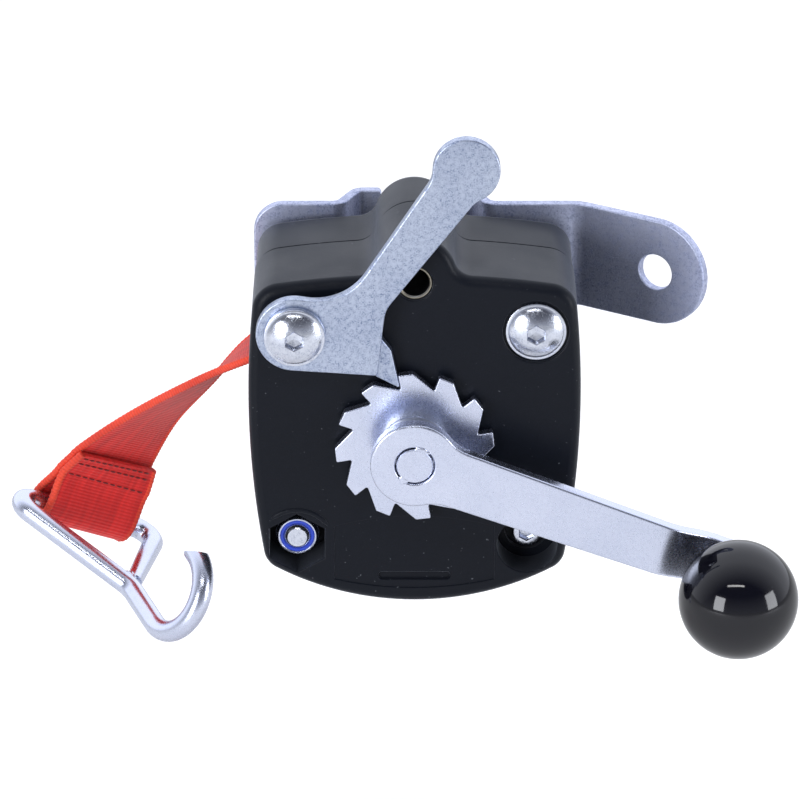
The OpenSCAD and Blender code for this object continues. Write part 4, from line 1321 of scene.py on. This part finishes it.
starts = [0.0]
for leg in legs:
    starts.append(starts[-1] + leg_length(leg))
stations = []
for i, leg in enumerate(legs):
    if leg[1]:
        stations += [starts[i] + leg_length(leg) * k / 10 for k in range(11)]
NOTCH_U = (starts[4] + starts[5]) / 2
HOLE_U = starts[10] + TAB_L
RIGHT_U = starts[8] + RIGHT_X - STEP_HALF - STEP_SPAN / 2
NOTCH_Z, NOTCH_R, CORNER_R, NOTCH_CORNER = SLEEVE_Z - 1, 10, 9, 1.2
TAB_HOLE_R = 5.5
notch_reach = NOTCH_R + NOTCH_CORNER
plate_loop = belt([
    (1.5, PLATE_LOW + 1.5, 1.5), (HOLE_U, PLATE_MID_Z, (PLATE_HIGH - PLATE_LOW) / 2),
    (NOTCH_U + notch_reach, PLATE_HIGH - NOTCH_CORNER, NOTCH_CORNER), (NOTCH_U, NOTCH_Z, -NOTCH_R),
    (NOTCH_U - notch_reach, PLATE_HIGH - NOTCH_CORNER, NOTCH_CORNER),
    (CORNER_R, PLATE_HIGH - CORNER_R, CORNER_R),
], step=5)
plate_holes = [
    circle(PIVOT_X - LEFT_END, PIVOT_Z, BOLT_HOLE), circle(RIGHT_U, RIGHT_Z, BOLT_HOLE),
    circle(HOLE_U, PLATE_MID_Z, TAB_HOLE_R),
]
work = plate_mesh("bracket", [plate_loop] + plate_holes, PLATE_T, 0.5, stations)
bracket = plate_piece(
    "mounting_bracket_plate", work, bent, "housing", bracket_zinc
)
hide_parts("mounting_bracket")
print("bracket tab bent", round(math.degrees(TAB_BEND), 1), "degrees")

# %% [markdown]
# ## Hook
# The hook is one bent wire: from a weld at the neck down one leg, along the bar, up the other
# leg, through the shank and round the bend to a bevelled tip. Sections along that line make the
# skin.
# %% Wire hook
BAR_AT = joint_at("hook_swing")
HOOK_TURN = Euler([math.radians(a) for a in (-15, -27.3, -146.8)]).to_matrix()
WIRE_R, WIRE_SIDES = 3.25, 28
EYE_HALF, EYE_H, EYE_R = 30.5, 39, 5
NECK_R, SHANK_L, HOOK_R, TIP_L = 8, 18, 13, 3


def in_hook(x, y, z):
    """A point of the hook's own frame, in millimetres about the shaft."""
    return BAR_AT + HOOK_TURN @ Vector((x, y, z))


leg_angle = math.atan2(EYE_H, EYE_HALF)
leg_turn = math.pi - leg_angle
bar_end = EYE_HALF - EYE_R * math.tan(leg_turn / 2)
neck_turn = math.pi / 2 - leg_angle
neck_y = EYE_H + NECK_R * math.tan(neck_turn / 2)
weld_x = (WIRE_R * (1 - math.cos(2 * leg_angle)) + 0.3) / (2 * math.sin(leg_angle))
weld_y = EYE_H * (1 - weld_x / EYE_HALF)
eye_line = [(-weld_x, weld_y)]
eye_line += arc((-bar_end, EYE_R), EYE_R, 1.5 * math.pi - leg_turn, 1.5 * math.pi, 14)
eye_line += arc((bar_end, EYE_R), EYE_R, -math.pi / 2, leg_turn - math.pi / 2, 14)
eye_line += arc((NECK_R, neck_y), NECK_R, math.pi + neck_turn, math.pi, 6)
shank_to = EYE_H + SHANK_L
bend_line = []
for a in range(0, 181, 5):
    t = math.radians(a)
    bend_line.append((shank_to + HOOK_R * math.sin(t), HOOK_R * (1 - math.cos(t))))
bend_line.append((shank_to - TIP_L + 0.8, 2 * HOOK_R))
centres = [Vector((x, y, 0)) for x, y in eye_line] + [Vector((0, y, z)) for y, z in bend_line]
in_eye = len(eye_line)


def wire_ring(i, radius):
    """Section of the wire at a point of its line."""
    before, after = centres[max(i - 1, 0)], centres[min(i + 1, len(centres) - 1)]
    along = (after - before).normalized()
    if i < in_eye:
        u, v = Vector((along.y, -along.x, 0)), Vector((0, 0, 1))
    else:
        u, v = Vector((1, 0, 0)), Vector((0, -along.z, along.y))
    centre, ring = centres[i], []
    for t in turns_of(WIRE_SIDES):
        ring.append(tuple(in_hook(*(centre + radius * (math.cos(t) * u + math.sin(t) * v)))))
    return ring


wire = [wire_ring(0, WIRE_R - 0.6)] + [wire_ring(i, WIRE_R) for i in range(1, len(centres))]
tip_end = centres[-1] + Vector((0, -0.8, 0))
wire.append([
    tuple(in_hook(*(tip_end + (WIRE_R - 0.8) * Vector((math.cos(t), 0, math.sin(t))))))
    for t in turns_of(WIRE_SIDES)
])
hook = solid("hook_wire", wire)
print("wire line of", len(centres), "points")

# %% [markdown]
# The tip is ground to a bevel, which a tilted box cuts. Where the far leg meets the neck, a weld
# bead is added as a lumpy, flattened ball with ripples.
# %% Tip bevel and weld
tilt = Matrix.Rotation(math.radians(37), 3, "X")
corner = Vector((0, shank_to - TIP_L + 6, 2 * HOOK_R + WIRE_R))
box_rings = []
for z in (0, 12):
    flat = [(-8, -20), (8, -20), (8, 0), (-8, 0)]
    box_rings.append([tuple(in_hook(*(corner + tilt @ Vector((x, y, z))))) for x, y in flat])
combine(hook, [solid("bevel_box", box_rings)], "DIFFERENCE")
dress(hook, "hook", bright_zinc, 40)
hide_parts("hook")
bead = bmesh.new()
bmesh.ops.create_uvsphere(bead, u_segments=28, v_segments=18, radius=1)
for vert in bead.verts:
    ripple = 1 + 0.07 * math.sin(9 * vert.co.x + 4 * vert.co.z) + 0.05 * math.sin(13 * vert.co.y)
    vert.co = in_hook(
        -0.6 + 3.0 * vert.co.x * ripple, weld_y + 3.4 * vert.co.y * ripple, 2.95 * vert.co.z * ripple
    )
make_piece("hook_weld_bead", *mesh_of(bead), "hook", "bright_zinc", bright_zinc, 80)
print("hook", len(hook.data.vertices), "points")

# %% [markdown]
# ## Webbing
# The webbing leaves the slot level, turns on its edge, and comes down to the hook's bar, which it
# wraps; its end is sewn back on itself. The route gives middle points and the direction across; a
# smooth curve runs through both. The loop follows the bar.
# %% Webbing route
hook_dir = HOOK_TURN @ Vector((0, 1, 0))
bar_dir = -(HOOK_TURN @ Vector((1, 0, 0)))
stem_dir = Vector((-0.514, 0.045, -0.857))
hang_across = Vector((0.54, 0.72, -0.45))
STRAP_W, STRAP_T = 35, 2.0
LOOP_R = WIRE_R + 0.4 + STRAP_T / 2
FLAP_N, FLAP_L, TEAR_L = STRAP_T / 2 + 0.3, 22, 14
route = [
    ((-14, 27.5, 34.2), (0, 1, 0)),
    ((-32, 27.5, 26.6), (0, 0.99, -0.1)),
    ((-49, 27.5, 18), (0, 0.98, -0.2)),
    ((-63, 38, 3), (0.06, 0.91, -0.42)),
    ((-79.2, 54, -16), (0.31, 0.83, -0.46)),
]


def loop_point(n, t):
    """A point n on the hook's side of the bar and t past it."""
    return BAR_AT + n * hook_dir + t * stem_dir


def stem_across(t):
    """The direction across the webbing near the flap's end."""
    share = max(0, -t - TEAR_L) / (FLAP_L - TEAR_L)
    return (bar_dir + 0.6 * share * (hang_across - bar_dir)).normalized()


def ease(u):
    """Smooth step from 0 to 1."""
    return (1 - math.cos(math.pi * u)) / 2


def smooth(values, i, u):
    """A smooth curve through the values, between the i-th and the next."""
    a, b = values[max(i - 1, 0)], values[i]
    c, d = values[i + 1], values[min(i + 2, len(values) - 1)]
    return b + 0.5 * u * (c - a + u * (2 * a - 5 * b + 4 * c - d + u * (3 * (b - c) + d - a)))


knots = [(Vector(p), Vector(w)) for p, w in route]
knots += [(loop_point(-FLAP_N, t), stem_across(t)) for t in (-FLAP_L - 2, -FLAP_L + 4)]
spots, acrosses = [k[0] for k in knots], [k[1] for k in knots]
line = []
for i in range(len(knots) - 1):
    for k in range(12):
        line.append((smooth(spots, i, k / 12), smooth(acrosses, i, k / 12).normalized()))
line.append(knots[-1])
print(len(line), "sections from the roll to the bar")

# %% [markdown]
# The loop is four runs of sections: the webbing closes in on the bar, goes half round it, runs
# back to the flap, and lies flat on itself where it is sewn.
# %% Loop round the bar
TEAR_GAP = LOOP_R - FLAP_N
for k in range(10):
    u = k / 10
    line.append((loop_point(-FLAP_N - TEAR_GAP * ease(u), -TEAR_L * (1 - u)), bar_dir))
for k in range(25):
    t = math.pi * (1 - k / 24)
    line.append((loop_point(LOOP_R * math.cos(t), LOOP_R * math.sin(t)), bar_dir))
for k in range(1, 11):
    u = k / 10
    line.append((loop_point(LOOP_R - TEAR_GAP * ease(u), -TEAR_L * u), bar_dir))
for k in range(1, 9):
    t = -TEAR_L - (FLAP_L - TEAR_L) * k / 8
    line.append((loop_point(FLAP_N, t), stem_across(t)))
print("webbing line of", len(line), "sections")

# %% [markdown]
# The webbing's flat body carries coordinates in millimetres along and across, so that the weave
# keeps its scale round every bend. Both selvedges are rope-like beads: a round section whose
# surface winds as it goes.
# %% Webbing body and selvedges
ACROSS = 28
BODY_HALF = STRAP_W / 2 - 0.9
ROPE_R, ROPE_SIDES, ROPE_PITCH = 1.25, 12, 1.6
lengths = [0.0]
for (a, _), (b, _) in zip(line, line[1:]):
    lengths.append(lengths[-1] + (b - a).length)


def section_frame(i):
    """Middle, across and outward directions of a section."""
    before, after = line[max(i - 1, 0)][0], line[min(i + 1, len(line) - 1)][0]
    middle, across = line[i]
    return middle, across, (after - before).cross(across).normalized()


def mark_weave(obj, marks):
    """Gives every point its place along and across the webbing, in millimetres."""
    layer = obj.data.uv_layers.new(name="weave")
    for loop in obj.data.loops:
        layer.data[loop.index].uv = marks[loop.vertex_index]


rings, marks = [], []
for i in range(len(line)):
    middle, across, out = section_frame(i)
    ring = []
    for side in (-1, 1):
        for k in range(ACROSS + 1):
            v = BODY_HALF * (2 * k / ACROSS - 1) * -side
            ring.append(tuple(middle + across * v + out * side * (STRAP_T / 2 - 0.12)))
            marks.append((lengths[i], v))
    rings.append(ring)
webbing = loose("strap_webbing", *skin(rings))
mark_weave(webbing, marks)


def at_length(distance):
    """Middle, across and outward directions at a distance along the webbing."""
    i = 0
    while i < len(lengths) - 2 and lengths[i + 1] < distance:
        i += 1
    share = (distance - lengths[i]) / (lengths[i + 1] - lengths[i])
    first, second = section_frame(i), section_frame(i + 1)
    return [a.lerp(b, share) for a, b in zip(first, second)]


def selvedge(name, side, material):
    """A rope-like bead along one edge of the webbing."""
    steps = int(lengths[-1] / 0.27)
    rings, marks = [], []
    for k in range(steps + 1):
        distance = lengths[-1] * k / steps
        middle, across, out = at_length(distance)
        centre = middle + across * side * (STRAP_W / 2 - ROPE_R)
        ring = []
        for t in turns_of(ROPE_SIDES):
            wind = math.cos(2 * (t * side) + 2 * math.pi * distance / ROPE_PITCH)
            radius = ROPE_R * (0.96 + 0.05 * wind)
            ring.append(tuple(centre + radius * (math.cos(t) * across + math.sin(t) * out)))
            marks.append((distance, side * STRAP_W / 2 + 0.5 * math.sin(t)))
        rings.append(ring)
    rope = loose(name, *skin(rings))
    mark_weave(rope, marks)
    dress(rope, "housing", material, 180)


print("webbing", round(lengths[-1]), "mm long")

# %% [markdown]
# The weave is drawn by formula from those millimetre coordinates: fine weft ribs across, warp
# bands along, and a few slow creases. The colour is darkened in the grooves between the ribs and
# along the creases, which is painted shade. Grazing light makes polyester glow, which the sheen does.
# %% Webbing material


def woven(name, colour, dark, mapped=True):
    """Woven red polyester; mapped says that the mesh carries millimetre coordinates."""
    material = bpy.data.materials.new(name)
    material.use_nodes = True
    tree = material.node_tree
    shader = tree.nodes["Principled BSDF"].inputs
    shader["Roughness"].default_value = 0.62
    shader["Sheen Weight"].default_value = 0.3
    shader["Sheen Roughness"].default_value = 0.4
    shader["Sheen Tint"].default_value = (1.0, 0.5, 0.45, 1)
    if mapped:
        source = add(tree, "ShaderNodeUVMap", uv_map="weave").outputs[0]
    else:
        metres = add(tree, "ShaderNodeTexCoord").outputs["Object"]
        scaled = add(tree, "ShaderNodeVectorMath", operation="SCALE", Vector=metres, Scale=1000)
        source = scaled.outputs[0]
    split = add(tree, "ShaderNodeSeparateXYZ", Vector=source).outputs

    def wave(value, pitch):
        return maths(tree, "SINE", maths(tree, "MULTIPLY", value, 2 * math.pi / pitch))

    weft, warp = wave(split["X"], WEFT_PITCH), wave(split["Y"], WARP_PITCH)
    cloth = maths(tree, "MULTIPLY_ADD", warp, 0.35, weft)
    stretched = chained(
        tree, "ShaderNodeVectorMath", source, (0.035, 0.32, 0.3), operation="MULTIPLY"
    )
    # Painted shade: the colour darkens along long creases and in the weave's grooves.
    crease_shade = ranged(tree, noise(tree, 1.0, 4.0, stretched), 0.4, 0.66)
    groove_shade = ranged(tree, cloth, -1.3, 1.3, 0.68, 1.0)
    shade = maths(tree, "MULTIPLY_ADD", crease_shade, -0.45, groove_shade, clamp=True)
    feed(tree, mix_colours(tree, shade, (*dark, 1), (*colour, 1)), shader["Base Color"])
    relief = add(tree, "ShaderNodeBump", Strength=0.4, Distance=0.0002, Height=cloth)
    feed(tree, relief.outputs[0], shader["Normal"])
    return material


WEFT_PITCH, WARP_PITCH = 1.05, 2.1
red_webbing = woven("red_webbing", (0.9, 0.022, 0.018), (0.5, 0.004, 0.006))
selvedge_red = woven("red_selvedge", (0.98, 0.08, 0.03), (0.5, 0.012, 0.008))
# The roll inside the housing takes a darker copy of the webbing's red: painted shade.
roll_red = woven("red_webbing_roll_painted_shade", (0.6, 0.03, 0.025), (0.4, 0.01, 0.01), mapped=False)
thread_red = woven("dark_red_thread", (0.22, 0.006, 0.008), (0.12, 0.004, 0.005))
dress(webbing, "housing", red_webbing, 40)
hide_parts("strap")
selvedge("strap_selvedge_front", -1, selvedge_red)
selvedge("strap_selvedge_back", 1, selvedge_red)
finish_node("wound_strap", roll_red)
print("webbing dressed")

# %% [markdown]
# Rows of stitches hold the flap. Each stitch is a short bead that lies on the flap's outer face,
# thickest in its middle.
# %% Stitches
STITCH, STITCH_GAP, STITCH_R = 2.0, 0.7, 0.32
SEAM_W = STRAP_W - 5
STITCH_SHAPE = ((0, 0.3), (0.15, 0.8), (0.5, 1), (0.85, 0.8), (1, 0.3))
points, faces = [], []
for t in (-FLAP_L + 1.2, -FLAP_L + 3.4, -FLAP_L + 8.0):
    across = stem_across(t)
    middle = loop_point(FLAP_N + STRAP_T / 2 - 0.05, t)
    for k in range(int(SEAM_W / (STITCH + STITCH_GAP))):
        start = -SEAM_W / 2 + k * (STITCH + STITCH_GAP)
        rings = []
        for share, swell in STITCH_SHAPE:
            centre = middle + across * (start + STITCH * share) + hook_dir * 0.1 * swell
            radius = STITCH_R * swell
            rings.append([
                tuple(centre + radius * (math.cos(a) * stem_dir + math.sin(a) * hook_dir))
                for a in turns_of(6)
            ])
        more_points, more_faces = skin(rings)
        base = len(points)
        points += more_points
        faces += [tuple(base + i for i in face) for face in more_faces]
make_piece("strap_stitches", points, faces, "housing", "red_webbing", thread_red, 60)
print(len(points) // 30, "stitches")
